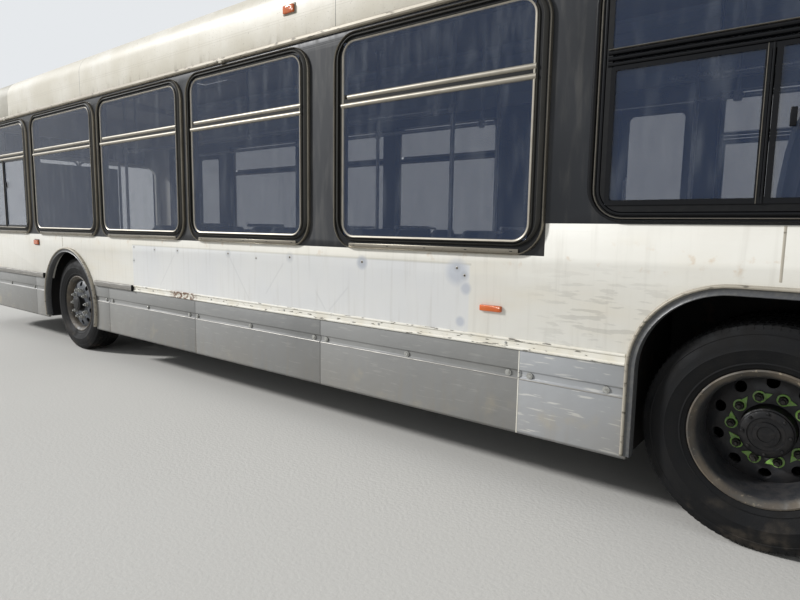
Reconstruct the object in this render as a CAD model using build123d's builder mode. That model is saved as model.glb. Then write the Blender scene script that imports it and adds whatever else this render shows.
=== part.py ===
from build123d import *
import os
from math import cos, radians, sin

os.makedirs("parts", exist_ok=True)

# A forty-foot low-floor city bus. Millimetres, +X forward, +Y to the bus's left, +Z up.
# The origin is on the ground, midway between the bumpers' faces and on the centre line.

# Overall body
HALF_LENGTH = 6100
HALF_WIDTH = 1295
WALL = 60
INNER_WIDTH = HALF_WIDTH - WALL
FRONT_AXLE_X = 3300
REAR_AXLE_X = FRONT_AXLE_X - 6190
AXLE_Z = 485

# Heights up the side
SKIRT_BOTTOM = 290
SKIRT_TOP = 722
BELT_Z = 1200
BELT_RAISED_Z = 1358
BELT_STEP_X = -1935
DRIP_Z = 2500

# Joints between the side walls and the end mouldings
FRONT_JOINT_X = 5590
REAR_JOINT_X = -5750
ROOF_CAP_JOINT_X = 4734

# Roof section
COVE_HALF_WIDTH = 1270
ROOF_CORNER_R = 200
ROOF_CORNER_Z = 2752
ROOF_CROWN = 38
ROOF_SEAM_Y = 1000
ROOF_SKIN = 50
ROOF_TOP = ROOF_CORNER_Z + ROOF_CORNER_R + ROOF_CROWN

# Doorways on the right side: rear edge and front edge of each opening
FRONT_DOORWAY = (4250, 5450)
REAR_DOORWAY = (-2010, -850)
DOOR_HEADER_Z = 2360

# Wheel arches
FRONT_ARCH_R = 590
REAR_ARCH_HALF = 540
REAR_ARCH_TOP = 1122
REAR_ARCH_CORNER = 405
ARCH_TRIM = 46
ARCH_TRIM_PROUD = 28
ARCH_LAP = 22

# Floor levels
FLOOR_Z = 375
FLOOR_THICK = 85
REAR_FLOOR_Z = 920
ENGINE_DECK_Z = 1290
ENGINE_BULKHEAD_X = -4650

# Side windows: centre along X, width, bottom of the opening, and whether the lower light slides
WINDOW_TOP = 2466
WINDOW_CORNER = 165
LOW_SILL = 1198
RAISED_SILL = 1365
LEFT_WINDOWS = [
    (4855, 1370, LOW_SILL, True),
    (3325, 1470, LOW_SILL, False),
    (1829, 1398, LOW_SILL, False),
    (378, 1376, LOW_SILL, False),
    (-1231, 1402, LOW_SILL, False),
    (-2820, 1380, RAISED_SILL, True),
    (-4330, 1380, RAISED_SILL, True),
]
RIGHT_WINDOWS = [
    (3325, 1470, LOW_SILL, False),
    (1829, 1398, LOW_SILL, False),
    (378, 1376, LOW_SILL, False),
    (-2820, 1380, RAISED_SILL, True),
    (-4330, 1380, RAISED_SILL, True),
]
FRAME_WIDTH = 86
FRAME_FOOT = 76
FRAME_HEAD = 60
FRAME_PROUD = 18
OPENING_INSET = 56
MEETING_POST = 56
GLASS_PROUD = 14
GLASS_THICK = 8
TRANSOM = (2032, 2108)

# Skirt panels: front edge and rear edge of each
LEFT_SKIRTS = [
    (5590, 4160),
    (4160, 3760),
    (2840, 2460),
    (2460, 1032),
    (1032, -396),
    (-396, -1824),
    (-1824, -2400),
    (-3380, -4600),
    (-4600, -5750),
]
RIGHT_SKIRTS = [
    (5590, 5456),
    (4244, 3760),
    (2840, 2460),
    (2460, 1032),
    (1032, -396),
    (-396, -844),
    (-2016, -2400),
    (-3380, -4600),
    (-4600, -5750),
]
SKIRT_GAP = 4
SKIRT_THICK = 25
SKIRT_Y = HALF_WIDTH - 2
FLOOR_HALF = SKIRT_Y - SKIRT_THICK - 1

# Wheels and tyres
TYRE_R = 485
BEAD_R = 292
WHEEL_Y = 1090
DUAL_Y = 760
KINGPIN_Y = 930


def side_plane(y):
    """The plane across the bus at y, drawn in X and Z, whose extrusions run towards the right side."""
    return Plane.XZ.offset(-y)


def front_arch(inset):
    """The front wheel arch's opening, in X and Z, smaller by inset: a half circle on straight legs."""
    radius = FRONT_ARCH_R - inset
    with BuildSketch() as arch:
        with Locations((FRONT_AXLE_X, AXLE_Z)):
            Circle(radius)
        with Locations((FRONT_AXLE_X, AXLE_Z / 2)):
            Rectangle(2 * radius, AXLE_Z)
    return arch.sketch


def rear_arch(inset):
    """The rear wheel arch's opening, smaller by inset: straight legs, rounded corners and a flat top."""
    with BuildSketch() as arch:
        with Locations((REAR_AXLE_X, 0)):
            RectangleRounded(
                2 * (REAR_ARCH_HALF - inset),
                2 * (REAR_ARCH_TOP - inset),
                REAR_ARCH_CORNER - inset,
            )
    return arch.sketch


def arch_cut(y):
    """Takes both wheel arches out of the panel being built, whose outer face is at y."""
    with BuildSketch(side_plane(y)) as arches:
        add(front_arch(ARCH_LAP))
        add(rear_arch(ARCH_LAP))
    extrude(arches.sketch, amount=2 * WALL, both=True, mode=Mode.SUBTRACT)


# Roof and cove panels

def roof_outline(inset):
    """The roof's section above the drip rail in Y and Z: upright coves, round corners and a low crown."""
    side = COVE_HALF_WIDTH - inset
    shoulder_y = COVE_HALF_WIDTH - ROOF_CORNER_R
    radius = ROOF_CORNER_R - inset
    shoulder_z = ROOF_CORNER_Z + radius
    with BuildSketch() as outline:
        with BuildLine():
            Polyline((-side, ROOF_CORNER_Z), (-side, DRIP_Z), (side, DRIP_Z), (side, ROOF_CORNER_Z))
            RadiusArc((side, ROOF_CORNER_Z), (shoulder_y, shoulder_z), -radius)
            ThreePointArc((shoulder_y, shoulder_z), (0, shoulder_z + ROOF_CROWN), (-shoulder_y, shoulder_z))
            RadiusArc((-shoulder_y, shoulder_z), (-side, ROOF_CORNER_Z), -radius)
        make_face()
    return outline.sketch


def roof_length(inset, start_x, end_x, mode=Mode.ADD):
    """Extrudes the roof's section along the bus from start_x to end_x."""
    with BuildSketch(Plane.YZ.offset(start_x)) as section:
        add(roof_outline(inset))
    extrude(section.sketch, amount=end_x - start_x, mode=mode)


HATCH_SIZE = 620
HATCH_X = (2900, -3200)

with BuildPart() as roof:
    roof_length(0, REAR_JOINT_X, ROOF_CAP_JOINT_X)
    roof_length(ROOF_SKIN, REAR_JOINT_X, ROOF_CAP_JOINT_X, Mode.SUBTRACT)
    split(bisect_by=Plane.XZ.offset(ROOF_SEAM_Y), keep=Keep.BOTTOM)
    split(bisect_by=Plane.XZ.offset(-ROOF_SEAM_Y), keep=Keep.TOP)
    with BuildSketch(Plane.XY.offset(DRIP_Z)):
        with Locations(*[(x, 0) for x in HATCH_X]):
            Rectangle(HATCH_SIZE, HATCH_SIZE)
    extrude(amount=600, mode=Mode.SUBTRACT)
roof.part.label = "roof"
export_step(roof.part, "parts/roof.step")

with BuildPart() as cove_panels:
    roof_length(0, REAR_JOINT_X, ROOF_CAP_JOINT_X)
    roof_length(ROOF_SKIN, REAR_JOINT_X, ROOF_CAP_JOINT_X, Mode.SUBTRACT)
    with BuildSketch(Plane.XY.offset(DRIP_Z)):
        Rectangle(4 * HALF_LENGTH, 2 * ROOF_SEAM_Y)
    extrude(amount=600, mode=Mode.SUBTRACT)
cove_panels.part.label = "cove_panels"
export_step(cove_panels.part, "parts/cove_panels.step")

# Drip rails: a rolled gutter along the top of each side wall
DRIP_PROUD = 22
with BuildPart() as drip_rails:
    with BuildSketch(Plane.YZ.offset(REAR_JOINT_X)):
        with BuildLine():
            Polyline(
                (COVE_HALF_WIDTH, DRIP_Z),
                (HALF_WIDTH, DRIP_Z),
                (HALF_WIDTH, DRIP_Z - 14),
                (HALF_WIDTH + DRIP_PROUD, DRIP_Z - 4),
                (HALF_WIDTH + DRIP_PROUD, DRIP_Z + 10),
                (COVE_HALF_WIDTH, DRIP_Z + 34),
                close=True,
            )
        make_face()
        mirror(about=Plane.YZ)
    extrude(amount=FRONT_JOINT_X - REAR_JOINT_X)
drip_rails.part.label = "drip_rails"
export_step(drip_rails.part, "parts/drip_rails.step")


# Side walls: a belt panel below the windows and a window band above it

def belt_outline(front_x, rear_x):
    """The belt panel's outline in X and Z, with the step up over the rear floor where it reaches that far."""
    if rear_x >= BELT_STEP_X:
        corners = [(front_x, BELT_Z), (rear_x, BELT_Z)]
    else:
        corners = [
            (front_x, BELT_Z),
            (BELT_STEP_X, BELT_Z),
            (BELT_STEP_X, BELT_RAISED_Z),
            (rear_x, BELT_RAISED_Z),
        ]
    return [(front_x, SKIRT_TOP), *corners, (rear_x, SKIRT_TOP)]


def band_outline(front_x, rear_x):
    """The window band's outline, from the belt panel's top edge to the drip rail."""
    return [(front_x, DRIP_Z), *belt_outline(front_x, rear_x)[1:-1], (rear_x, DRIP_Z)]


def wall_piece(points, outer_y):
    """Adds a wall panel of that outline, whose left-hand face is at outer_y."""
    with BuildSketch(side_plane(outer_y)) as panel:
        with BuildLine():
            Polyline(*points, close=True)
        make_face()
    extrude(panel.sketch, amount=WALL)


def window_cut(windows, outer_y):
    """Cuts the window openings, hidden behind their frames, out of the band being built."""
    with BuildSketch(side_plane(outer_y)) as openings:
        for centre_x, width, sill, slides in windows:
            with Locations((centre_x, (sill + WINDOW_TOP) / 2)):
                Rectangle(width - 2 * OPENING_INSET, WINDOW_TOP - sill - 2 * OPENING_INSET)
    extrude(openings.sketch, amount=WALL, mode=Mode.SUBTRACT)


# On the right the panels stop at the two doorways
RIGHT_SPANS = [
    (FRONT_DOORWAY[0], REAR_DOORWAY[1]),
    (REAR_DOORWAY[0] - 1, REAR_JOINT_X),
]
DOOR_PILLAR = [
    (FRONT_DOORWAY[1], SKIRT_TOP),
    (FRONT_DOORWAY[1], DRIP_Z),
    (FRONT_JOINT_X, DRIP_Z),
    (FRONT_JOINT_X, SKIRT_TOP),
]
# centre along X, centre height, width and height of the engine bay's intake in the left side
GRILLE = (-5180, 1010, 760, 420)

with BuildPart() as belt_panels:
    wall_piece(belt_outline(FRONT_JOINT_X, REAR_JOINT_X), HALF_WIDTH)
    with BuildSketch(side_plane(HALF_WIDTH)):
        with Locations((GRILLE[0], GRILLE[1])):
            Rectangle(GRILLE[2], GRILLE[3])
    extrude(amount=WALL, mode=Mode.SUBTRACT)
    wall_piece(belt_outline(*RIGHT_SPANS[0]), -INNER_WIDTH)
    rear_x = RIGHT_SPANS[1][1]
    front_x = RIGHT_SPANS[1][0]
    wall_piece(
        [(front_x, SKIRT_TOP), (front_x, BELT_RAISED_Z), (rear_x, BELT_RAISED_Z), (rear_x, SKIRT_TOP)],
        -INNER_WIDTH,
    )
    arch_cut(HALF_WIDTH)
    arch_cut(-INNER_WIDTH)
belt_panels.part.label = "belt_panels"
export_step(belt_panels.part, "parts/belt_panels.step")

with BuildPart() as window_bands:
    wall_piece(band_outline(FRONT_JOINT_X, REAR_JOINT_X), HALF_WIDTH)
    window_cut(LEFT_WINDOWS, HALF_WIDTH)
    wall_piece(band_outline(*RIGHT_SPANS[0]), -INNER_WIDTH)
    wall_piece(
        [(front_x, DRIP_Z), (front_x, BELT_RAISED_Z), (rear_x, BELT_RAISED_Z), (rear_x, DRIP_Z)],
        -INNER_WIDTH,
    )
    wall_piece(DOOR_PILLAR, -INNER_WIDTH)
    for door_rear, door_front in (FRONT_DOORWAY, REAR_DOORWAY):
        wall_piece(
            [
                (door_rear - 2, DOOR_HEADER_Z),
                (door_rear - 2, DRIP_Z),
                (door_front + 2, DRIP_Z),
                (door_front + 2, DOOR_HEADER_Z),
            ],
            -INNER_WIDTH,
        )
    window_cut(RIGHT_WINDOWS, -INNER_WIDTH)
window_bands.part.label = "window_bands"
export_step(window_bands.part, "parts/window_bands.step")


# Window frames: a rounded plate on the wall's face, cut out for each light

def frame_lights(centre_x, width, sill, slides):
    """The lights that a frame leaves open: centre along X, width, bottom and top of each."""
    inner = width - 2 * FRAME_WIDTH
    lights = [(centre_x, inner, TRANSOM[1], WINDOW_TOP - FRAME_HEAD)]
    if slides:
        for end in (-1, 1):
            pane_x = centre_x + end * (inner + MEETING_POST) / 4
            lights.append((pane_x, (inner - MEETING_POST) / 2, sill + FRAME_FOOT, TRANSOM[0]))
    else:
        lights.append((centre_x, inner, sill + FRAME_FOOT, TRANSOM[0]))
    return lights


with BuildPart() as window_frames:
    for side, windows in ((1, LEFT_WINDOWS), (-1, RIGHT_WINDOWS)):
        face_y = HALF_WIDTH + FRAME_PROUD if side > 0 else -HALF_WIDTH
        for centre_x, width, sill, slides in windows:
            with BuildSketch(side_plane(face_y)):
                with Locations((centre_x, (sill + WINDOW_TOP) / 2)):
                    RectangleRounded(width, WINDOW_TOP - sill, WINDOW_CORNER)
                for light_x, light_width, low, high in frame_lights(centre_x, width, sill, slides):
                    with Locations((light_x, (low + high) / 2)):
                        Rectangle(light_width, high - low, mode=Mode.SUBTRACT)
            extrude(amount=FRAME_PROUD)
window_frames.part.label = "window_frames"
export_step(window_frames.part, "parts/window_frames.step")

with BuildPart() as window_glass:
    for side, windows in ((1, LEFT_WINDOWS), (-1, RIGHT_WINDOWS)):
        for window in windows:
            for light_x, light_width, low, high in frame_lights(*window):
                with Locations((light_x, side * (HALF_WIDTH + GLASS_PROUD - GLASS_THICK / 2), (low + high) / 2)):
                    Box(light_width, GLASS_THICK, high - low)
window_glass.part.label = "window_glass"
export_step(window_glass.part, "parts/window_glass.step")


# Skirt panels with the fastening channel pressed along them

CHANNEL = (578, 586, 614, 622)
CHANNEL_DEPTH = 9


with BuildPart() as skirt_panels:
    for side, spans in ((1, LEFT_SKIRTS), (-1, RIGHT_SKIRTS)):
        low, low_in, high_in, high = CHANNEL
        for front_x, rear_x in spans:
            with BuildSketch(Plane.YZ.offset(rear_x + SKIRT_GAP / 2)):
                with BuildLine():
                    Polyline(
                        (side * (SKIRT_Y - SKIRT_THICK), SKIRT_BOTTOM),
                        (side * SKIRT_Y, SKIRT_BOTTOM),
                        (side * SKIRT_Y, low),
                        (side * (SKIRT_Y - CHANNEL_DEPTH), low_in),
                        (side * (SKIRT_Y - CHANNEL_DEPTH), high_in),
                        (side * SKIRT_Y, high),
                        (side * SKIRT_Y, SKIRT_TOP),
                        (side * (SKIRT_Y - SKIRT_THICK), SKIRT_TOP),
                        close=True,
                    )
                make_face()
            extrude(amount=front_x - rear_x - SKIRT_GAP)
        arch_cut(side * SKIRT_Y)
skirt_panels.part.label = "skirt_panels"
export_step(skirt_panels.part, "parts/skirt_panels.step")


# Rub rails: a base strip on the seam, with a rounded insert where it is still in place

RAIL = (725, 778)
RAIL_BASE = 8
RAIL_PROUD = 22
RAIL_BEVEL = 12
RAIL_LIP = 11
RAIL_WEB = 3
FRONT_ARCH_END = FRONT_ARCH_R + 4
REAR_ARCH_END = REAR_ARCH_HALF + 4
# front edge, rear edge, left side, insert present
RAIL_RUNS = [
    (FRONT_JOINT_X, FRONT_AXLE_X + FRONT_ARCH_END, True, True),
    (FRONT_AXLE_X - FRONT_ARCH_END, 1990, True, True),
    (1978, REAR_AXLE_X + REAR_ARCH_END, True, False),
    (REAR_AXLE_X - REAR_ARCH_END, REAR_JOINT_X, True, True),
    (FRONT_DOORWAY[0], FRONT_AXLE_X + FRONT_ARCH_END, False, True),
    (FRONT_AXLE_X - FRONT_ARCH_END, REAR_DOORWAY[1], False, True),
    (REAR_AXLE_X - REAR_ARCH_END, REAR_JOINT_X, False, True),
]


def rail_run(front_x, rear_x, insert):
    """One run of rub rail on the left side."""
    with BuildPart() as run:
        with BuildSketch(Plane.YZ.offset(rear_x)):
            with BuildLine():
                if insert:
                    Polyline(
                        (HALF_WIDTH, RAIL[0]),
                        (HALF_WIDTH + RAIL_BASE, RAIL[0]),
                        (HALF_WIDTH + RAIL_PROUD, RAIL[0] + RAIL_BEVEL),
                        (HALF_WIDTH + RAIL_PROUD, RAIL[1] - RAIL_BEVEL),
                        (HALF_WIDTH + RAIL_BASE, RAIL[1]),
                        (HALF_WIDTH, RAIL[1]),
                        close=True,
                    )
                else:
                    Polyline(
                        (HALF_WIDTH, RAIL[0]),
                        (HALF_WIDTH + RAIL_BASE, RAIL[0]),
                        (HALF_WIDTH + RAIL_BASE, RAIL[0] + RAIL_LIP),
                        (HALF_WIDTH + RAIL_WEB, RAIL[0] + RAIL_LIP),
                        (HALF_WIDTH + RAIL_WEB, RAIL[1] - RAIL_LIP),
                        (HALF_WIDTH + RAIL_BASE, RAIL[1] - RAIL_LIP),
                        (HALF_WIDTH + RAIL_BASE, RAIL[1]),
                        (HALF_WIDTH, RAIL[1]),
                        close=True,
                    )
            make_face()
        extrude(amount=front_x - rear_x)
    return run.part


with BuildPart() as rub_rails:
    for front_x, rear_x, left, insert in RAIL_RUNS:
        run = rail_run(front_x, rear_x, insert)
        add(run if left else run.mirror(Plane.XZ))
rub_rails.part.label = "rub_rails"
export_step(rub_rails.part, "parts/rub_rails.step")


# Wheel arch trims: a proud bead along the edge of each arch, cut off level with the skirts' foot

TRIM_BOTTOM = 312

with BuildPart() as arch_trims:
    for arch in (front_arch, rear_arch):
        with BuildSketch(side_plane(HALF_WIDTH + ARCH_TRIM_PROUD)):
            add(arch(0))
            add(arch(ARCH_TRIM), mode=Mode.SUBTRACT)
            with Locations((0, 0)):
                Rectangle(2 * HALF_LENGTH, 2 * TRIM_BOTTOM, mode=Mode.SUBTRACT)
            with Locations((0, -REAR_ARCH_TOP)):
                Rectangle(2 * HALF_LENGTH, 2 * REAR_ARCH_TOP, mode=Mode.SUBTRACT)
        extrude(amount=ARCH_TRIM_PROUD)
    mirror(about=Plane.XZ)
arch_trims.part.label = "arch_trims"
export_step(arch_trims.part, "parts/arch_trims.step")


# Front mask: a bowed, round-cornered moulding below the drip line, and the roof cap above it

NOSE_X = 5985
NOSE_BOW = 55
NOSE_CORNER_R = 330
MASK_BOTTOM = 600
RAKE_Z = 1120
RAKE_X = 5885
RAKE_TOP_Z = 2620
BROW_R = 350
# where the cuts through the front end start, and how far they run
OPENING_START_X = 5400
OPENING_REACH = 800


def nose_plan(half_width, inset):
    """The front end seen from above: straight sides, round corners and a bowed front."""
    side = half_width - inset
    front = NOSE_X - inset
    corner_y = half_width - NOSE_CORNER_R
    corner_x = NOSE_X - NOSE_BOW - NOSE_CORNER_R
    radius = NOSE_CORNER_R - inset
    with BuildSketch() as plan:
        with BuildLine():
            Polyline((corner_x, side), (ROOF_CAP_JOINT_X, side), (ROOF_CAP_JOINT_X, -side), (corner_x, -side))
            RadiusArc((corner_x, -side), (corner_x + radius, -corner_y), -radius)
            ThreePointArc((corner_x + radius, -corner_y), (front, 0), (corner_x + radius, corner_y))
            RadiusArc((corner_x + radius, corner_y), (corner_x, side), -radius)
        make_face()
    return plan.sketch


def nose_profile(inset):
    """The front end seen from the side: upright, then raked, then rounded over into the roof."""
    with BuildSketch() as profile:
        with BuildLine():
            Polyline(
                (RAKE_X - BROW_R, 3200),
                (ROOF_CAP_JOINT_X, 3200),
                (ROOF_CAP_JOINT_X, 200),
                (NOSE_X - inset, 200),
                (NOSE_X - inset, RAKE_Z),
                (RAKE_X - inset, RAKE_TOP_Z),
            )
            RadiusArc((RAKE_X - inset, RAKE_TOP_Z), (RAKE_X - BROW_R, RAKE_TOP_Z + BROW_R - inset), -(BROW_R - inset))
            Line((RAKE_X - BROW_R, RAKE_TOP_Z + BROW_R - inset), (RAKE_X - BROW_R, 3200))
        make_face()
    return profile.sketch


def nose_body(half_width, low_z, high_z, inset):
    """The front end as a full solid between two heights, drawn inward by inset."""
    with BuildPart() as nose:
        with BuildSketch(Plane.XY.offset(low_z)):
            add(nose_plan(half_width, inset))
        extrude(amount=high_z - low_z)
        with BuildSketch(side_plane(HALF_WIDTH)):
            add(nose_profile(inset))
        extrude(amount=2 * HALF_WIDTH, mode=Mode.INTERSECT)
    return nose.part


def front_opening(centre_y, centre_z, width, height, corner=0):
    """A prism through the front end that cuts an opening or leaves only what lies in it."""
    with BuildPart() as prism:
        with BuildSketch(Plane.YZ.offset(OPENING_START_X)):
            with Locations((centre_y, centre_z)):
                if corner:
                    RectangleRounded(width, height, corner)
                else:
                    Rectangle(width, height)
        extrude(amount=OPENING_REACH)
    return prism.part


def front_pane(inset, thickness, opening):
    """A curved pane that lies in an opening of the front mask, inset from its outer face."""
    with BuildPart() as pane:
        add(nose_body(HALF_WIDTH, MASK_BOTTOM, DRIP_Z, inset))
        add(nose_body(HALF_WIDTH, MASK_BOTTOM, DRIP_Z, inset + thickness), mode=Mode.SUBTRACT)
        add(opening, mode=Mode.INTERSECT)
    return pane.part


# centre height, width, height and, where it is rounded, corner radius
WINDSHIELD = (1672, 2260, 1080, 130)
SIGN = (2370, 1900, 230)
HEADLAMP_Y = 860
HEADLAMP = (770, 470, 190)
CENTRE_POST = 16

with BuildPart() as front_mask:
    add(nose_body(HALF_WIDTH, MASK_BOTTOM, DRIP_Z, 0))
    add(nose_body(HALF_WIDTH, MASK_BOTTOM, DRIP_Z, WALL), mode=Mode.SUBTRACT)
    split(bisect_by=Plane.YZ.offset(FRONT_JOINT_X), keep=Keep.TOP)
    add(front_opening(0, *WINDSHIELD), mode=Mode.SUBTRACT)
    add(front_opening(0, *SIGN), mode=Mode.SUBTRACT)
    for side in (-1, 1):
        add(front_opening(side * HEADLAMP_Y, *HEADLAMP), mode=Mode.SUBTRACT)
    add(front_pane(2, 30, front_opening(0, WINDSHIELD[0], CENTRE_POST, WINDSHIELD[2] + 4)))
front_mask.part.label = "front_mask"
export_step(front_mask.part, "parts/front_mask.step")


with BuildPart() as windshield:
    add(front_pane(6, 8, front_opening(0, WINDSHIELD[0], WINDSHIELD[1] - 2, WINDSHIELD[2] - 2, WINDSHIELD[3] - 1)))
    with BuildSketch(Plane.YZ.offset(OPENING_START_X)):
        with Locations((0, WINDSHIELD[0])):
            Rectangle(CENTRE_POST + 1, WINDSHIELD[2])
    extrude(amount=OPENING_REACH, mode=Mode.SUBTRACT)
windshield.part.label = "windshield"
export_step(windshield.part, "parts/windshield.step")

with BuildPart() as destination_sign:
    add(front_pane(6, 80, front_opening(0, *SIGN)))
destination_sign.part.label = "destination_sign"
export_step(destination_sign.part, "parts/destination_sign.step")

with BuildPart() as headlamps:
    for side in (-1, 1):
        add(front_pane(14, 40, front_opening(side * HEADLAMP_Y, *HEADLAMP)))
headlamps.part.label = "headlamps"
export_step(headlamps.part, "parts/headlamps.step")

with BuildPart() as front_roof_cap:
    add(nose_body(COVE_HALF_WIDTH, DRIP_Z, 3100, 0))
    with BuildPart(mode=Mode.PRIVATE) as cap_section:
        roof_length(0, ROOF_CAP_JOINT_X, HALF_LENGTH)
    add(cap_section.part, mode=Mode.INTERSECT)
    add(nose_body(COVE_HALF_WIDTH, DRIP_Z, RAKE_TOP_Z + BROW_R - ROOF_SKIN - 60, ROOF_SKIN), mode=Mode.SUBTRACT)
front_roof_cap.part.label = "front_roof_cap"
export_step(front_roof_cap.part, "parts/front_roof_cap.step")


# Rear end: a flat back with round corners below the drip line, and the rear roof cap above it

TAIL_X = -5990
TAIL_CORNER_R = 170
TAIL_BOTTOM = 650
# the engine door's opening: half width, bottom and top
ENGINE_DOOR = (790, TAIL_BOTTOM, 1520)
DOOR_GAP = 8
# the air intake panel above the engine door: centre height, width and height
REAR_INTAKE = (1960, 1700, 560)
TAIL_LAMP_Y = 1010
# centre height, width and height of each lamp in a column
TAIL_LAMPS = [(880, 120, 90), (1150, 120, 110), (1290, 120, 110), (1430, 120, 110)]
LAMP_PROUD = 20


def tail_plan(inset):
    """The rear end seen from above, between the side walls' rear joint and the back."""
    side = HALF_WIDTH - inset
    back = TAIL_X + inset
    radius = TAIL_CORNER_R - inset
    with BuildSketch() as plan:
        with BuildLine():
            Polyline((back + radius, -side), (REAR_JOINT_X, -side), (REAR_JOINT_X, side), (back + radius, side))
            RadiusArc((back + radius, side), (back, side - radius), -radius)
            Line((back, side - radius), (back, radius - side))
            RadiusArc((back, radius - side), (back + radius, -side), -radius)
        make_face()
    return plan.sketch


with BuildPart() as rear_mask:
    with BuildSketch(Plane.XY.offset(TAIL_BOTTOM)):
        add(tail_plan(0))
        add(tail_plan(WALL), mode=Mode.SUBTRACT)
    extrude(amount=DRIP_Z - TAIL_BOTTOM)
    with BuildSketch(Plane.YZ.offset(TAIL_X)):
        with Locations((0, (ENGINE_DOOR[1] + ENGINE_DOOR[2]) / 2 - 10)):
            Rectangle(2 * (ENGINE_DOOR[0] + DOOR_GAP), ENGINE_DOOR[2] - ENGINE_DOOR[1] + 20)
        with Locations((0, REAR_INTAKE[0])):
            Rectangle(REAR_INTAKE[1], REAR_INTAKE[2])
    extrude(amount=WALL, mode=Mode.SUBTRACT)
rear_mask.part.label = "rear_mask"
export_step(rear_mask.part, "parts/rear_mask.step")

GRILLE_THICK = 30
GRILLE_SET_BACK = 4
with BuildPart() as intake_grilles:
    with BuildSketch(Plane.YZ.offset(TAIL_X + GRILLE_SET_BACK)):
        with Locations((0, REAR_INTAKE[0])):
            Rectangle(REAR_INTAKE[1] - 2, REAR_INTAKE[2] - 2)
    extrude(amount=GRILLE_THICK)
    with BuildSketch(side_plane(HALF_WIDTH - GRILLE_SET_BACK)):
        with Locations((GRILLE[0], GRILLE[1])):
            Rectangle(GRILLE[2] - 2, GRILLE[3] - 2)
    extrude(amount=GRILLE_THICK)
intake_grilles.part.label = "intake_grilles"
export_step(intake_grilles.part, "parts/intake_grilles.step")

ENGINE_DOOR_THICK = 40
with BuildPart() as engine_door:
    with BuildSketch(Plane.YZ.offset(TAIL_X)):
        with Locations((0, (ENGINE_DOOR[1] + ENGINE_DOOR[2]) / 2)):
            Rectangle(2 * ENGINE_DOOR[0], ENGINE_DOOR[2] - ENGINE_DOOR[1] - 2 * DOOR_GAP)
    extrude(amount=ENGINE_DOOR_THICK)
engine_door.part.label = "engine_door"
export_step(engine_door.part, "parts/engine_door.step")

with BuildPart() as tail_lamps:
    with BuildSketch(Plane.YZ.offset(TAIL_X - LAMP_PROUD)):
        for lamp_z, lamp_width, lamp_height in TAIL_LAMPS:
            with Locations((TAIL_LAMP_Y, lamp_z), (-TAIL_LAMP_Y, lamp_z)):
                Rectangle(lamp_width, lamp_height)
    extrude(amount=LAMP_PROUD)
tail_lamps.part.label = "tail_lamps"
export_step(tail_lamps.part, "parts/tail_lamps.step")

REAR_BROW = 160
REAR_BROW_TOP = ROOF_TOP + 20
REAR_BROW_FOOT = ROOF_CORNER_Z + 60
with BuildPart() as rear_roof_cap:
    roof_length(0, TAIL_X, REAR_JOINT_X)
    with BuildSketch(side_plane(HALF_WIDTH)):
        with BuildLine():
            Polyline(
                (TAIL_X + REAR_BROW, REAR_BROW_TOP),
                (REAR_JOINT_X, REAR_BROW_TOP),
                (REAR_JOINT_X, DRIP_Z),
                (TAIL_X, DRIP_Z),
                (TAIL_X, REAR_BROW_FOOT),
                close=True,
            )
        make_face()
    extrude(amount=2 * HALF_WIDTH, mode=Mode.INTERSECT)
    roof_length(ROOF_SKIN, TAIL_X + WALL, REAR_JOINT_X, Mode.SUBTRACT)
rear_roof_cap.part.label = "rear_roof_cap"
export_step(rear_roof_cap.part, "parts/rear_roof_cap.step")


# Bumpers: deep rounded mouldings across both ends

BUMPER_THICK = 110
FRONT_BUMPER = (285, 592)
REAR_BUMPER = (400, 640)


def bumper_plan(front, corner_r, bow, rear, inset):
    """A bumper seen from above: straight returns, round corners and a bowed face, towards +X."""
    side = HALF_WIDTH - 1 - inset
    corner_x = front - bow - corner_r
    corner_y = HALF_WIDTH - 1 - corner_r
    radius = corner_r - inset
    with BuildSketch() as plan:
        with BuildLine():
            Polyline((corner_x, side), (rear, side), (rear, -side), (corner_x, -side))
            RadiusArc((corner_x, -side), (corner_x + radius, -corner_y), -radius)
            ThreePointArc((corner_x + radius, -corner_y), (front - inset, 0), (corner_x + radius, corner_y))
            RadiusArc((corner_x + radius, corner_y), (corner_x, side), -radius)
        make_face()
    return plan.sketch


with BuildPart() as front_bumper:
    with BuildSketch(Plane.XY.offset(FRONT_BUMPER[0])):
        add(bumper_plan(HALF_LENGTH, 330, 55, FRONT_JOINT_X + 4, 0))
        add(bumper_plan(HALF_LENGTH, 330, 55, FRONT_JOINT_X - 40, BUMPER_THICK), mode=Mode.SUBTRACT)
    extrude(amount=FRONT_BUMPER[1] - FRONT_BUMPER[0])
front_bumper.part.label = "front_bumper"
export_step(front_bumper.part, "parts/front_bumper.step")

with BuildPart() as rear_bumper:
    with BuildSketch(Plane.XY.offset(REAR_BUMPER[0])):
        add(bumper_plan(HALF_LENGTH, 200, 1, -REAR_JOINT_X + 4, 0).mirror(Plane.YZ))
        add(bumper_plan(HALF_LENGTH, 200, 1, -REAR_JOINT_X - 40, BUMPER_THICK).mirror(Plane.YZ), mode=Mode.SUBTRACT)
    extrude(amount=REAR_BUMPER[1] - REAR_BUMPER[0])
rear_bumper.part.label = "rear_bumper"
export_step(rear_bumper.part, "parts/rear_bumper.step")


# Floor: a low deck to the rear door, two steps up to the raised rear deck and a higher deck over the engine

STEP_X = -2060
STEP_TREAD = 260
STEP_Z = 645
RISER = 40
DOOR_EDGE = 1248

FRONT_HOUSING_HALF = 640
FRONT_HOUSING_Y = 575
FRONT_HOUSING_TOP = 1110
REAR_HOUSING_HALF = 545
REAR_HOUSING_Y = 560
REAR_HOUSING_TOP = 1125
HOUSING_THICK = 20

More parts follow.
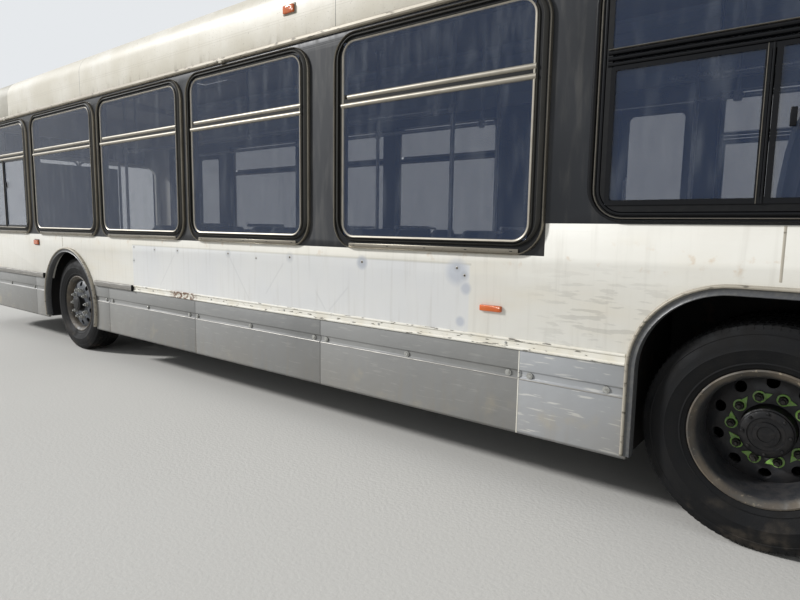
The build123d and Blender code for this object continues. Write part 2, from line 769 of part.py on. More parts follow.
with BuildPart() as floor_decks:
    with BuildSketch(side_plane(FLOOR_HALF)):
        with BuildLine():
            Polyline(
                (FRONT_JOINT_X - 20, FLOOR_Z),
                (STEP_X, FLOOR_Z),
                (STEP_X, STEP_Z),
                (STEP_X - STEP_TREAD, STEP_Z),
                (STEP_X - STEP_TREAD, REAR_FLOOR_Z),
                (ENGINE_BULKHEAD_X, REAR_FLOOR_Z),
                (ENGINE_BULKHEAD_X, ENGINE_DECK_Z),
                (REAR_JOINT_X - 60, ENGINE_DECK_Z),
                (REAR_JOINT_X - 60, ENGINE_DECK_Z - RISER),
                (ENGINE_BULKHEAD_X - RISER, ENGINE_DECK_Z - RISER),
                (ENGINE_BULKHEAD_X - RISER, REAR_FLOOR_Z - RISER),
                (STEP_X - STEP_TREAD - RISER, REAR_FLOOR_Z - RISER),
                (STEP_X - STEP_TREAD - RISER, STEP_Z - RISER),
                (STEP_X - RISER, STEP_Z - RISER),
                (STEP_X - RISER, FLOOR_Z - FLOOR_THICK),
                (FRONT_JOINT_X - 20, FLOOR_Z - FLOOR_THICK),
                close=True,
            )
        make_face()
    extrude(amount=2 * FLOOR_HALF)
    with BuildSketch(Plane.XY):
        for side in (-1, 1):
            with Locations((FRONT_AXLE_X, side * (FRONT_HOUSING_Y + HALF_WIDTH) / 2)):
                Rectangle(2 * FRONT_HOUSING_HALF, HALF_WIDTH - FRONT_HOUSING_Y)
            with Locations((REAR_AXLE_X, side * (REAR_HOUSING_Y + HALF_WIDTH) / 2)):
                Rectangle(2 * REAR_HOUSING_HALF, HALF_WIDTH - REAR_HOUSING_Y)
        for rear_x, front_x in (FRONT_DOORWAY, REAR_DOORWAY):
            with Locations(((rear_x + front_x) / 2, -DOOR_EDGE - 50)):
                Rectangle(front_x - rear_x + 2 * DOOR_GAP, 100)
    extrude(amount=1200, mode=Mode.SUBTRACT)
    # the decks' edges stop inside the thick side walls above the skirts
    for side in (-1, 1):
        with Locations((0, side * (INNER_WIDTH - 1 + 50), SKIRT_TOP + 500)):
            Box(2 * HALF_LENGTH, 100, 1000 + 8, mode=Mode.SUBTRACT)
floor_decks.part.label = "floor_decks"
export_step(floor_decks.part, "parts/floor_decks.step")


def housing(centre_x, half_length, inner_y, top_z, bottom_z, side):
    """Adds a wheel housing: an inner wall, a front wall, a rear wall and a top."""
    width = INNER_WIDTH - 2 - inner_y
    with Locations((centre_x, side * (inner_y + width / 2), (top_z + bottom_z) / 2)):
        Box(2 * half_length, width, top_z - bottom_z)
    with Locations((centre_x, side * (inner_y + HOUSING_THICK + width / 2), (top_z + bottom_z) / 2 - HOUSING_THICK)):
        Box(2 * (half_length - HOUSING_THICK), width, top_z - bottom_z, mode=Mode.SUBTRACT)


with BuildPart() as wheel_housings:
    for side in (-1, 1):
        housing(FRONT_AXLE_X, FRONT_HOUSING_HALF - 1, FRONT_HOUSING_Y + 1, FRONT_HOUSING_TOP, SKIRT_BOTTOM, side)
        housing(REAR_AXLE_X, REAR_HOUSING_HALF - 1, REAR_HOUSING_Y + 1, REAR_HOUSING_TOP, SKIRT_BOTTOM, side)
wheel_housings.part.label = "wheel_housings"
export_step(wheel_housings.part, "parts/wheel_housings.step")


# Underframe: two long box members with outriggers, in three lengths round the axles

# front end, rear end, bottom, depth and cross members of each length
MEMBERS = [
    (FRONT_JOINT_X - 10, FRONT_AXLE_X + 160, 205, 84, (5300, 3700)),
    (FRONT_AXLE_X - 160, STEP_X + 120, 205, 84, (2900, 1700, 500, -700, -1700)),
    (REAR_AXLE_X + 480, REAR_JOINT_X + 60, 720, 90, (-2600, -4400)),
]
MEMBER_Y = 420
MEMBER_WIDTH = 80

with BuildPart() as underframe:
    for front_x, rear_x, low, depth, cross_places in MEMBERS:
        for side in (-1, 1):
            with Locations(((front_x + rear_x) / 2, side * MEMBER_Y, low + depth / 2)):
                Box(front_x - rear_x, MEMBER_WIDTH, depth)
        for cross_x in cross_places:
            with Locations((cross_x, 0, low + depth / 2)):
                Box(60, 2 * MEMBER_Y, depth - 20)
underframe.part.label = "underframe"
export_step(underframe.part, "parts/underframe.step")


# Axles: the front beam is dropped between the kingpins, to pass under the low floor

BEAM_END_Y = KINGPIN_Y + 28
BEAM_WIDTH = 100
# foot and top of the beam's raised ends and of its dropped middle
BEAM_ENDS = (330, 405)
BEAM_MIDDLE = (195, 275)
# where the beam's upper and lower faces turn down into the middle, and where they level out
BEAM_TOP_BENDS = (624, 604)
BEAM_FOOT_BENDS = (690, 660)

with BuildPart() as front_axle:
    with BuildSketch(Plane.YZ.offset(FRONT_AXLE_X - BEAM_WIDTH / 2)):
        with BuildLine():
            Polyline(
                (0, BEAM_MIDDLE[1]),
                (BEAM_TOP_BENDS[1], BEAM_MIDDLE[1]),
                (BEAM_TOP_BENDS[0], BEAM_ENDS[1]),
                (BEAM_END_Y, BEAM_ENDS[1]),
                (BEAM_END_Y, BEAM_ENDS[0]),
                (BEAM_FOOT_BENDS[0], BEAM_ENDS[0]),
                (BEAM_FOOT_BENDS[1], BEAM_MIDDLE[0]),
                (0, BEAM_MIDDLE[0]),
                close=True,
            )
        make_face()
        mirror(about=Plane.YZ)
    extrude(amount=BEAM_WIDTH)
front_axle.part.label = "front_axle"
export_step(front_axle.part, "parts/front_axle.step")

SPRING_Y = 715
REAR_BEAM_Y = 420
REAR_SPRING_REACH = 400

# a drive axle of box section with a round gear housing, and a beam across each end for the springs
AXLE_TUBE = 140
GEAR_HOUSING_R = 190
with BuildPart() as rear_axle:
    with Locations((REAR_AXLE_X, 0, AXLE_Z)):
        Box(AXLE_TUBE, 1080, AXLE_TUBE)
    with BuildSketch(Plane.YZ.offset(REAR_AXLE_X - 150)):
        with Locations((0, AXLE_Z)):
            Circle(GEAR_HOUSING_R)
    extrude(amount=300)
    for side in (-1, 1):
        with Locations((REAR_AXLE_X, side * REAR_BEAM_Y, AXLE_Z - 75)):
            Box(2 * REAR_SPRING_REACH + 160, 110, 50)
rear_axle.part.label = "rear_axle"
export_step(rear_axle.part, "parts/rear_axle.step")


# bottom, top and radius
FRONT_SPRING = (405.3, 680, 88)
REAR_SPRING = (AXLE_Z - 49.7, 719.7, 110)


def air_spring(centre_x, centre_y, low, high, radius):
    """Adds the rubber bellows of an air spring."""
    with BuildSketch(Plane.XY.offset(low)) as bellows:
        with Locations((centre_x, centre_y)):
            Circle(radius)
    extrude(bellows.sketch, amount=high - low)


with BuildPart() as air_springs:
    for side in (-1, 1):
        air_spring(FRONT_AXLE_X, side * SPRING_Y, *FRONT_SPRING)
        for end in (-1, 1):
            air_spring(REAR_AXLE_X + end * REAR_SPRING_REACH, side * REAR_BEAM_Y, *REAR_SPRING)
air_springs.part.label = "air_springs"
export_step(air_springs.part, "parts/air_springs.step")


# Engine block, gearbox and propeller shaft

# centre along X, centre height, length, width and height of the engine and of the gearbox
ENGINE_BLOCKS = [
    (-5280, 830, 760, 640, 560),
    (-4750, 680, 400, 420, 370),
]
SHAFT_R = 45
SHAFT_Z = 560
SHAFT_REAR_X = -4620
SHAFT_LENGTH = 1460

with BuildPart() as engine:
    for block_x, block_z, block_length, block_width, block_height in ENGINE_BLOCKS:
        with Locations((block_x, 0, block_z)):
            Box(block_length, block_width, block_height)
    with BuildSketch(Plane.YZ.offset(SHAFT_REAR_X)):
        with Locations((0, SHAFT_Z)):
            Circle(SHAFT_R)
    extrude(amount=SHAFT_LENGTH)
engine.part.label = "engine"
export_step(engine.part, "parts/engine.step")


# Wheels

BOSS_SIZE = 84
BOSS_LOW = 412
FLANGE_SIZE = 110
FLANGE_THICK = 20
FLANGE_Y = WHEEL_Y - 101
ARM_REACH = 240
ARM_INSET = 24


def wheel_plane(x, y):
    """A plane through a wheel's centre whose X runs outward along the axle and whose Y runs up."""
    return Plane(origin=(x, y, AXLE_Z), x_dir=(0, 1, 0), z_dir=(1, 0, 0))


def turned(x, y, points):
    """Adds a body turned about a wheel's axle from points of axial place and radius."""
    with BuildSketch(wheel_plane(x, y)) as profile:
        with BuildLine():
            Polyline(*points, close=True)
        make_face()
    revolve(profile.sketch, axis=Axis((x, y, AXLE_Z), (0, 1, 0)))


TYRE_HALF = 145
RIM_R = BEAD_R - 1
LIP_R = 264
RIM_EDGE = 122
HUB_R = 75
# axial place, outward from the wheel's centre plane, and radius
FRONT_RIM = [(-95, 0), (-95, RIM_R), (RIM_EDGE, RIM_R), (RIM_EDGE, LIP_R), (75, LIP_R), (75, HUB_R), (168, HUB_R), (168, 0)]
REAR_RIMS = [(-440, 0), (-440, RIM_R), (RIM_EDGE, RIM_R), (RIM_EDGE, LIP_R), (-150, LIP_R), (-150, 110), (40, 110), (40, 0)]


def tyre(x, y):
    """Adds one tyre, its centre plane at y."""
    turned(x, y, [(-TYRE_HALF, BEAD_R), (-TYRE_HALF, TYRE_R), (TYRE_HALF, TYRE_R), (TYRE_HALF, BEAD_R)])


for side_name, side in (("left", 1), ("right", -1)):
    with BuildPart() as front_tyre:
        tyre(FRONT_AXLE_X, side * WHEEL_Y)
    front_tyre.part.label = f"front_tyre_{side_name}"
    export_step(front_tyre.part, f"parts/front_tyre_{side_name}.step")

    with BuildPart() as front_rim:
        turned(FRONT_AXLE_X, side * WHEEL_Y, [(side * place, radius) for place, radius in FRONT_RIM])
    front_rim.part.label = f"front_rim_{side_name}"
    export_step(front_rim.part, f"parts/front_rim_{side_name}.step")

    with BuildPart() as rear_tyres:
        tyre(REAR_AXLE_X, side * WHEEL_Y)
        tyre(REAR_AXLE_X, side * DUAL_Y)
    rear_tyres.part.label = f"rear_tyres_{side_name}"
    export_step(rear_tyres.part, f"parts/rear_tyres_{side_name}.step")

    with BuildPart() as rear_rims:
        turned(REAR_AXLE_X, side * WHEEL_Y, [(side * place, radius) for place, radius in REAR_RIMS])
    rear_rims.part.label = f"rear_rims_{side_name}"
    export_step(rear_rims.part, f"parts/rear_rims_{side_name}.step")

    # a kingpin boss, the flange that carries the hub and the steering arm behind the axle
    with BuildPart() as knuckle:
        with Locations((FRONT_AXLE_X, side * KINGPIN_Y, AXLE_Z)):
            Box(BOSS_SIZE, BOSS_SIZE, 2 * (AXLE_Z - BOSS_LOW))
        with Locations((FRONT_AXLE_X, side * (FLANGE_Y - FLANGE_THICK / 2), AXLE_Z)):
            Box(FLANGE_SIZE, FLANGE_THICK, FLANGE_SIZE)
        with Locations((FRONT_AXLE_X - ARM_REACH / 2, side * (KINGPIN_Y - ARM_INSET), AXLE_Z + 20)):
            Box(ARM_REACH, 36, 30)
    knuckle.part.label = f"knuckle_{side_name}"
    export_step(knuckle.part, f"parts/knuckle_{side_name}.step")


# Doors: two leaves in each doorway, each a tall pane and a kick panel flush on a frame

LEAF_GAP = 6
LEAF_Y = -HALF_WIDTH + 5
LEAF_THICK = 34
LEAF_BOTTOM = 346
LEAF_TOP = DOOR_HEADER_Z - LEAF_GAP
LEAF_FRAME = 60
LEAF_KICK = 320
PANE_CORNER = 50
PANE_THICK = 8

DOOR_LEAVES = []
for door_name, (door_rear, door_front) in (("front_door", FRONT_DOORWAY), ("rear_door", REAR_DOORWAY)):
    middle = (door_rear + door_front) / 2
    DOOR_LEAVES.append((f"{door_name}_rear_leaf", door_rear + LEAF_GAP, middle - LEAF_GAP / 2))
    DOOR_LEAVES.append((f"{door_name}_front_leaf", middle + LEAF_GAP / 2, door_front - LEAF_GAP))

for leaf_name, leaf_rear, leaf_front in DOOR_LEAVES:
    leaf_x = (leaf_rear + leaf_front) / 2
    leaf_width = leaf_front - leaf_rear
    leaf_z = (LEAF_BOTTOM + LEAF_TOP) / 2
    leaf_height = LEAF_TOP - LEAF_BOTTOM
    pane_z = leaf_z + (LEAF_KICK - LEAF_FRAME) / 2
    pane_width = leaf_width - 2 * LEAF_FRAME
    pane_height = leaf_height - LEAF_FRAME - LEAF_KICK
    with BuildPart() as leaf:
        with BuildSketch(side_plane(LEAF_Y + LEAF_THICK)):
            with Locations((leaf_x, leaf_z)):
                Rectangle(leaf_width, leaf_height)
            with Locations((leaf_x, pane_z)):
                RectangleRounded(pane_width, pane_height, PANE_CORNER, mode=Mode.SUBTRACT)
        extrude(amount=LEAF_THICK - PANE_THICK)
        with BuildSketch(side_plane(LEAF_Y + PANE_THICK)):
            with Locations((leaf_x, leaf_z)):
                Rectangle(leaf_width, leaf_height)
        extrude(amount=PANE_THICK)
    leaf.part.label = leaf_name
    export_step(leaf.part, f"parts/{leaf_name}.step")


# Roof hatches: shallow trays that lie over their openings

HATCH_LAP = 30
HATCH_RISE = 6
HATCH_THICK = 50
for hatch_name, hatch_x in (("front_roof_hatch", HATCH_X[0]), ("rear_roof_hatch", HATCH_X[1])):
    with BuildPart() as hatch:
        with Locations((hatch_x, 0, ROOF_TOP + HATCH_RISE + HATCH_THICK / 2)):
            Box(HATCH_SIZE + 2 * HATCH_LAP, HATCH_SIZE + 2 * HATCH_LAP, HATCH_THICK)
        top_edges = hatch.faces().sort_by(Axis.Z)[-1].edges()
        chamfer(top_edges, HATCH_THICK / 2)
    hatch.part.label = hatch_name
    export_step(hatch.part, f"parts/{hatch_name}.step")


# Driver's place

STEERING_TILT = 28
STEERING_CENTRE = (5080, 700, 1080)
STEERING_R = 235
WHEEL_GRIP = 28
COLUMN_R = 24
COLUMN_LENGTH = 150

with BuildPart() as steering_wheel:
    wheel_axis = Plane(
        origin=STEERING_CENTRE,
        x_dir=(0, 1, 0),
        z_dir=(-sin(radians(STEERING_TILT)), 0, cos(radians(STEERING_TILT))),
    )
    with BuildSketch(wheel_axis.offset(-WHEEL_GRIP / 2)):
        Circle(STEERING_R)
        Circle(STEERING_R - WHEEL_GRIP, mode=Mode.SUBTRACT)
    extrude(amount=WHEEL_GRIP)
    with BuildSketch(wheel_axis.offset(-10)):
        Rectangle(2 * STEERING_R - WHEEL_GRIP, 70)
    extrude(amount=16)
    with BuildSketch(wheel_axis.offset(-COLUMN_LENGTH)):
        Circle(COLUMN_R)
    extrude(amount=COLUMN_LENGTH - 10)
steering_wheel.part.label = "steering_wheel"
export_step(steering_wheel.part, "parts/steering_wheel.step")

DRIVER_Y = STEERING_CENTRE[1]
DASH_LEFT_Y = 1130
DASH_WIDTH = 1110
DASH_FOOT_Z = FLOOR_Z + 10
COLUMN_COVER_WIDTH = 50

with BuildPart() as dashboard:
    with BuildSketch(side_plane(DASH_LEFT_Y)):
        with BuildLine():
            Polyline(
                (5760, DASH_FOOT_Z),
                (5760, 1080),
                (5500, 1120),
                (5330, 1020),
                (5330, 940),
                (5600, 860),
                (5600, DASH_FOOT_Z),
                close=True,
            )
        make_face()
    extrude(amount=DASH_WIDTH)
    with BuildSketch(side_plane(DRIVER_Y + COLUMN_COVER_WIDTH / 2)):
        with BuildLine():
            Polyline((5200, 960), (5180, 1000), (5340, 1060), (5400, 960), close=True)
        make_face()
    extrude(amount=COLUMN_COVER_WIDTH)
dashboard.part.label = "dashboard"
export_step(dashboard.part, "parts/dashboard.step")

DRIVER_SEAT_WIDTH = 480
SEAT_BOX = 300
SEAT_BOX_X = 4510
SEAT_PAN_Z = 860

with BuildPart() as driver_seat:
    with BuildSketch(side_plane(DRIVER_Y + DRIVER_SEAT_WIDTH / 2)):
        with BuildLine():
            Polyline(
                (4760, SEAT_PAN_Z),
                (4790, 960),
                (4380, 930),
                (4270, 1640),
                (4180, 1620),
                (4240, SEAT_PAN_Z),
                close=True,
            )
        make_face()
    extrude(amount=DRIVER_SEAT_WIDTH)
    with Locations((SEAT_BOX_X, DRIVER_Y, (FLOOR_Z + SEAT_PAN_Z) / 2)):
        Box(SEAT_BOX, SEAT_BOX, SEAT_PAN_Z - FLOOR_Z)
driver_seat.part.label = "driver_seat"
export_step(driver_seat.part, "parts/driver_seat.step")

PARTITION_X = 4045
PARTITION_THICK = 30
PARTITION_TOP = 1980
PARTITION_WIDTH = 860

with BuildPart() as driver_partition:
    with BuildSketch(side_plane(INNER_WIDTH - 4)):
        with Locations((PARTITION_X, (FRONT_HOUSING_TOP + PARTITION_TOP) / 2)):
            Rectangle(PARTITION_THICK, PARTITION_TOP - FRONT_HOUSING_TOP)
    extrude(amount=PARTITION_WIDTH)
driver_partition.part.label = "driver_partition"
export_step(driver_partition.part, "parts/driver_partition.step")

# Passenger seats in pairs on either side of the aisle: front edge and the deck that they stand on
SEAT_WIDTH = 880
SEAT_ROWS = [
    (2300, FLOOR_Z, 1),
    (1500, FLOOR_Z, 1),
    (700, FLOOR_Z, 1),
    (-100, FLOOR_Z, 1),
    (-900, FLOOR_Z, 1),
    (1500, FLOOR_Z, -1),
    (700, FLOOR_Z, -1),
    (-3560, REAR_FLOOR_Z, 1),
    (-3560, REAR_FLOOR_Z, -1),
    (-2420, REAR_HOUSING_TOP - 250, 1),
    (-2420, REAR_HOUSING_TOP - 250, -1),
]

with BuildPart() as passenger_seats:
    for seat_x, deck_z, side in SEAT_ROWS:
        left_y = INNER_WIDTH - 6 if side > 0 else -INNER_WIDTH + 6 + SEAT_WIDTH
        with BuildSketch(side_plane(left_y)):
            with BuildLine():
                Polyline(
                    (seat_x, deck_z + 400),
                    (seat_x, deck_z + 440),
                    (seat_x - 420, deck_z + 430),
                    (seat_x - 510, deck_z + 950),
                    (seat_x - 550, deck_z + 950),
                    (seat_x - 460, deck_z + 390),
                    close=True,
                )
            make_face()
        extrude(amount=SEAT_WIDTH)
passenger_seats.part.label = "passenger_seats"
export_step(passenger_seats.part, "parts/passenger_seats.step")

# Grab poles from the decks to the ceiling, along both sides of the aisle
POLE_R = 17
POLE_Y = 330
POLE_TOP = 2925
# place along X and the deck each pair of poles stands on
POLES = [(3900, FLOOR_Z), (500, FLOOR_Z), (-760, FLOOR_Z), (-4200, REAR_FLOOR_Z)]

with BuildPart() as grab_poles:
    for pole_x, deck_z in POLES:
        foot_z = deck_z + 2
        with Locations(*[(pole_x, side * POLE_Y, (foot_z + POLE_TOP) / 2) for side in (-1, 1)]):
            Cylinder(POLE_R, POLE_TOP - foot_z)
grab_poles.part.label = "grab_poles"
export_step(grab_poles.part, "parts/grab_poles.step")


# Mirrors on arms from the front corners, and towing eyes under both ends

MIRROR_X = 5800
MIRROR_Y = 1420
MIRROR_Z = 1950
# width, height, corner radius and depth of a mirror's case
MIRROR_CASE = (220, 420, 40, 70)
MIRROR_ARM = 30

with BuildPart() as mirrors:
    for side in (-1, 1):
        with BuildSketch(Plane.YZ.offset(MIRROR_X)):
            with Locations((side * MIRROR_Y, MIRROR_Z)):
                RectangleRounded(*MIRROR_CASE[:3])
        extrude(amount=MIRROR_CASE[3])
        with BuildSketch(Plane.YZ.offset(MIRROR_X + MIRROR_ARM / 2)):
            with BuildLine():
                Polyline(
                    (side * 1400, 2170),
                    (side * 1400, 2230),
                    (side * 1200, 2360),
                    (side * 1190, 2330),
                    (side * 1370, 2215),
                    (side * 1370, 2150),
                    close=True,
                )
            make_face()
        extrude(amount=MIRROR_ARM)
    add(nose_body(HALF_WIDTH, MASK_BOTTOM, DRIP_Z, -0.3), mode=Mode.SUBTRACT)
mirrors.part.label = "mirrors"
export_step(mirrors.part, "parts/mirrors.step")

EYE_R = 21
EYE_THICK = 30
EYE_Y = 420
EYE_Z = 245
EYE_PLATE = (150, 90)
EYES = [("front_tow_eyes", FRONT_JOINT_X + 240, 1), ("rear_tow_eyes", -5860, -1)]
for eye_name, eye_x, end in EYES:
    with BuildPart() as tow_eyes:
        for side in (-1, 1):
            with BuildSketch(side_plane(side * EYE_Y + EYE_THICK / 2)):
                with Locations((eye_x, EYE_Z)):
                    Rectangle(*EYE_PLATE)
                    Circle(EYE_R, mode=Mode.SUBTRACT)
            extrude(amount=EYE_THICK)
    tow_eyes.part.label = eye_name
    export_step(tow_eyes.part, f"parts/{eye_name}.step")
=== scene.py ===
"""A low-floor city bus, finished: operators build its visible pieces over the CAD frame.

Metres, +X forward, +Y to the bus's left, +Z up.
"""

import collections
import functools
from math import asin, atan2, copysign, cos, hypot, pi, radians, sin, tau

import bmesh
import bpy
from mathutils import Matrix, Vector
from mathutils.bvhtree import BVHTree


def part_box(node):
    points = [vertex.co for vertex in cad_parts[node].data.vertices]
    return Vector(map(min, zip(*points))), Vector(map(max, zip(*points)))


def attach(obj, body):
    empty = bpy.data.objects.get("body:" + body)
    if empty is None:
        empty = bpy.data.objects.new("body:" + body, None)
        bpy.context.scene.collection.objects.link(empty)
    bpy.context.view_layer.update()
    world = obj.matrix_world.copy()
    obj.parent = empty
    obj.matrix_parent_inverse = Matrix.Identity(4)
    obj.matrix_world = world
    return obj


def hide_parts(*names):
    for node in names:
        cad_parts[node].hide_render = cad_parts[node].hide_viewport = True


bl_info = {
    "name": "Low-floor city bus",
    "version": (1, 0, 0),
    "blender": (4, 5, 0),
    "location": "View3D > Sidebar > City bus",
    "description": "Builds the bus's finished pieces, their materials and the stage over its CAD frame",
    "category": "Object",
}

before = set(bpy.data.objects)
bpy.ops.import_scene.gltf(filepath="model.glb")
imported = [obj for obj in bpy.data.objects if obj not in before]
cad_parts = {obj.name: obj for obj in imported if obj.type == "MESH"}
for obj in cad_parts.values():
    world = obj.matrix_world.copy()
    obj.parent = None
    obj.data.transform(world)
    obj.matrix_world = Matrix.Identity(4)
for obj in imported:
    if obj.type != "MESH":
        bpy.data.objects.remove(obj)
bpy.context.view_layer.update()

# The side walls' faces, the wheels' places and the levels that pieces share, read from the frame
SIDE_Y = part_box("belt_panels")[1].y
COVE_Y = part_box("cove_panels")[1].y
BELT_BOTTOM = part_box("belt_panels")[0].z
BELT_TOP = 1.2
FRONT_AXLE_X = sum(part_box("front_tyre_left"), Vector()).x / 2
REAR_AXLE_X = sum(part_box("rear_tyres_left"), Vector()).x / 2
TYRE_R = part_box("front_tyre_left")[1].z / 2
AXLE_Z = TYRE_R
WHEEL_Y = sum(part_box("front_tyre_left"), Vector()).y / 2
TWIN_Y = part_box("rear_tyres_left")[0].y + (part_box("front_tyre_left")[1].y - WHEEL_Y)


def linear(hex_colour):
    """An sRGB hex colour as the linear RGBA that nodes work in."""
    parts = [int(hex_colour[i : i + 2], 16) / 255 for i in (1, 3, 5)]
    return tuple(c / 12.92 if c <= 0.04045 else ((c + 0.055) / 1.055) ** 2.4 for c in parts) + (1.0,)


def colour_property(name, hex_colour, description):
    return bpy.props.FloatVectorProperty(
        name=name, description=description, subtype="COLOR", size=4, min=0, max=1, default=linear(hex_colour)
    )


def length_property(name, metres, description):
    return bpy.props.FloatProperty(name=name, description=description, unit="LENGTH", default=metres, min=0)


class BusPaint(bpy.types.PropertyGroup):
    """The colours of the paintwork and glass."""

    body: colour_property("Body", "#E3E1D9", "Aged off-white of the belt panels and the ends")
    repaint: colour_property("Repainted length", "#DEDEDC", "Fresher white of the repainted belt panel")
    cove: colour_property("Cove", "#CAC4B4", "Yellowed white of the cove panels")
    roof: colour_property("Roof", "#BFBBAF", "Weathered white of the roof")
    band: colour_property("Window band", "#1D1F23", "Aged black of the window band")
    skirt: colour_property("Skirts", "#858583", "Grey of the skirt panels")
    glass: colour_property("Side glass", "#10294A", "Blue-grey tint of the side windows")


class BusSizes(bpy.types.PropertyGroup):
    """The sizes of the side fittings."""

    bolt_head: length_property("Skirt bolt head", 0.011, "Radius of the skirt bolts' heads")
    washer: length_property("Skirt washer", 0.017, "Radius of the washers under them")
    tread_groove: length_property("Tread groove", 0.01, "Depth of the grooves round the tyres")
    wheel_nut: length_property("Wheel nut", 0.0165, "Half the width across a wheel nut's flats")
    slat_pitch: length_property("Grille pitch", 0.045, "Spacing of the slats in the intake grilles")


class BusStage(bpy.types.PropertyGroup):
    """The stage round the bus."""

    floor: colour_property("Floor", "#CFCDC8", "Colour of the floor")
    backdrop: colour_property("Backdrop", "#E6E9EC", "Colour behind the bus")
    daylight: bpy.props.FloatProperty(name="Daylight", description="Strength of the light all round", default=0.58)
    key: bpy.props.FloatProperty(name="Key light", description="Strength of the soft sun lamp", default=3.1)


def paint():
    return bpy.context.scene.bus_paint


def sizes():
    return bpy.context.scene.bus_sizes


# Nodes


def connect(tree, node, inputs):
    """Gives a node's inputs their values or links."""
    for name, value in inputs.items():
        if isinstance(value, bpy.types.NodeSocket):
            tree.links.new(value, node.inputs[name])
        else:
            node.inputs[name].default_value = value


def add_node(tree, kind, inputs=None, **settings):
    """Adds a node with its settings and its inputs' values or links."""
    node = tree.nodes.new(kind)
    for name, value in settings.items():
        setattr(node, name, value)
    connect(tree, node, inputs or {})
    return node


def object_place(tree):
    """Where a surface point is, in the bus's frame."""
    return add_node(tree, "ShaderNodeTexCoord").outputs["Object"]


def clouds(tree, size, low=0.4, high=0.6, stretch=(1, 1, 1), detail=5.0, shift=0.0):
    """A cloudy mask from 0 to 1 with blotches size metres across, drawn out by stretch."""
    scale = tuple(1 / (size * s) for s in stretch)
    spot = {"Vector": object_place(tree), "Scale": scale, "Location": (shift, shift, shift)}
    place = add_node(tree, "ShaderNodeMapping", spot).outputs[0]
    noise = add_node(tree, "ShaderNodeTexNoise", {"Vector": place, "Scale": 1.0, "Detail": detail})
    return remap(tree, noise.outputs["Fac"], low, high, soft=True)


def remap(tree, value, low, high, to_low=0.0, to_high=1.0, soft=False):
    """Carries a value's span from low to high over to another span, and clamps it there."""
    span = {"Value": value, "From Min": low, "From Max": high, "To Min": to_low, "To Max": to_high}
    kind = "SMOOTHSTEP" if soft else "LINEAR"
    return add_node(tree, "ShaderNodeMapRange", span, interpolation_type=kind).outputs[0]


def along(tree, axis):
    """A surface point's place along X, Y or Z."""
    return add_node(tree, "ShaderNodeSeparateXYZ", {0: object_place(tree)}).outputs[axis]


def between(tree, axis, low, high, soft=0.002):
    """A mask that is 1 where the place along an axis lies between low and high."""
    place = along(tree, axis)
    rising = remap(tree, place, low - soft, low + soft)
    falling = remap(tree, place, high - soft, high + soft, 1.0, 0.0)
    return product(tree, rising, falling)


def product(tree, *masks):
    """Where all the masks are 1."""
    return combined(tree, masks, "MULTIPLY")


def either(tree, *masks):
    """Where any of the masks is 1."""
    return combined(tree, masks, "MAXIMUM")


def combined(tree, masks, operation):
    result = masks[0]
    for mask in masks[1:]:
        result = add_node(tree, "ShaderNodeMath", {0: result, 1: mask}, operation=operation).outputs[0]
    return result


def reach_from(tree, x, z):
    """A surface point's distance from a line along Y."""
    flat = add_node(tree, "ShaderNodeVectorMath", {0: object_place(tree), 1: (1, 0, 1)}, operation="MULTIPLY")
    ends = {0: flat.outputs[0], 1: (x, 0, z)}
    return add_node(tree, "ShaderNodeVectorMath", ends, operation="DISTANCE").outputs["Value"]


def spot(tree, x, z, radius, soft):
    """A round spot on the bus's sides, 1 at its centre."""
    return remap(tree, reach_from(tree, x, z), radius * (1 - soft), radius, 1.0, 0.0)


def stroke(tree, start, end, width):
    """A thin straight mark on the bus's sides from one point to another, each given along X and Z."""
    run = Vector((end[0] - start[0], 0, end[1] - start[1]))
    turn = atan2(run.z, run.x)
    middle = ((start[0] + end[0]) / 2, 0, (start[1] + end[1]) / 2)
    centred = add_node(tree, "ShaderNodeVectorMath", {0: object_place(tree), 1: middle}, operation="SUBTRACT")
    spin = {"Vector": centred.outputs[0], "Angle": turn}
    turned = add_node(tree, "ShaderNodeVectorRotate", spin, rotation_type="Y_AXIS").outputs[0]
    parts = add_node(tree, "ShaderNodeSeparateXYZ", {0: turned}).outputs
    reach, off = (add_node(tree, "ShaderNodeMath", {0: parts[a]}, operation="ABSOLUTE").outputs[0] for a in "XZ")
    ends = remap(tree, reach, run.length / 2 - 0.03, run.length / 2, 1.0, 0.0)
    return product(tree, ends, remap(tree, off, 0.0, width, 1.0, 0.0, soft=True))


def dress(tree, base, *coats, relief=None, depth=0.001, **inputs):
    """Gives the material's shader its colour, its inputs, and relief as bumps of that depth in metres.

    The colour is a base with coats over it, each one where its mask is 1, or to the share given third. An input
    given as a mask and two values runs from the first value to the second where the mask does from 0 to 1.
    """
    colour = linear(base) if isinstance(base, str) else base
    for mask, coat, *share in coats:
        mask = product(tree, mask, *share)
        coat = linear(coat) if isinstance(coat, str) else coat
        colour = add_node(tree, "ShaderNodeMix", {0: mask, 6: colour, 7: coat}, data_type="RGBA").outputs[2]
    values = {"Base Color": colour}
    for name, value in inputs.items():
        if isinstance(value, tuple):
            value = remap(tree, value[0], 0, 1, *value[1:])
        values[name.replace("_", " ")] = value
    shader = tree.nodes["Principled BSDF"]
    connect(tree, shader, values)
    if relief is not None:
        bump = add_node(tree, "ShaderNodeBump", {"Height": relief, "Distance": depth})
        tree.links.new(bump.outputs[0], shader.inputs["Normal"])


FINISHES = {}


def finish_maker(maker):
    """Makes a material when its first piece asks for it, from the function that fills its nodes."""

    def get():
        name = maker.__name__
        if name not in FINISHES:
            material = bpy.data.materials.new(name)
            material.use_nodes = True
            FINISHES[name] = material
            maker(material.node_tree)
        return FINISHES[name]

    return get
# Paintwork

# The repainted length of the left side: its rear and front ends and its bottom and top edges
REPAINT_X = (-1.52, 1.98)
REPAINT_Z = (BELT_BOTTOM, 1.14)
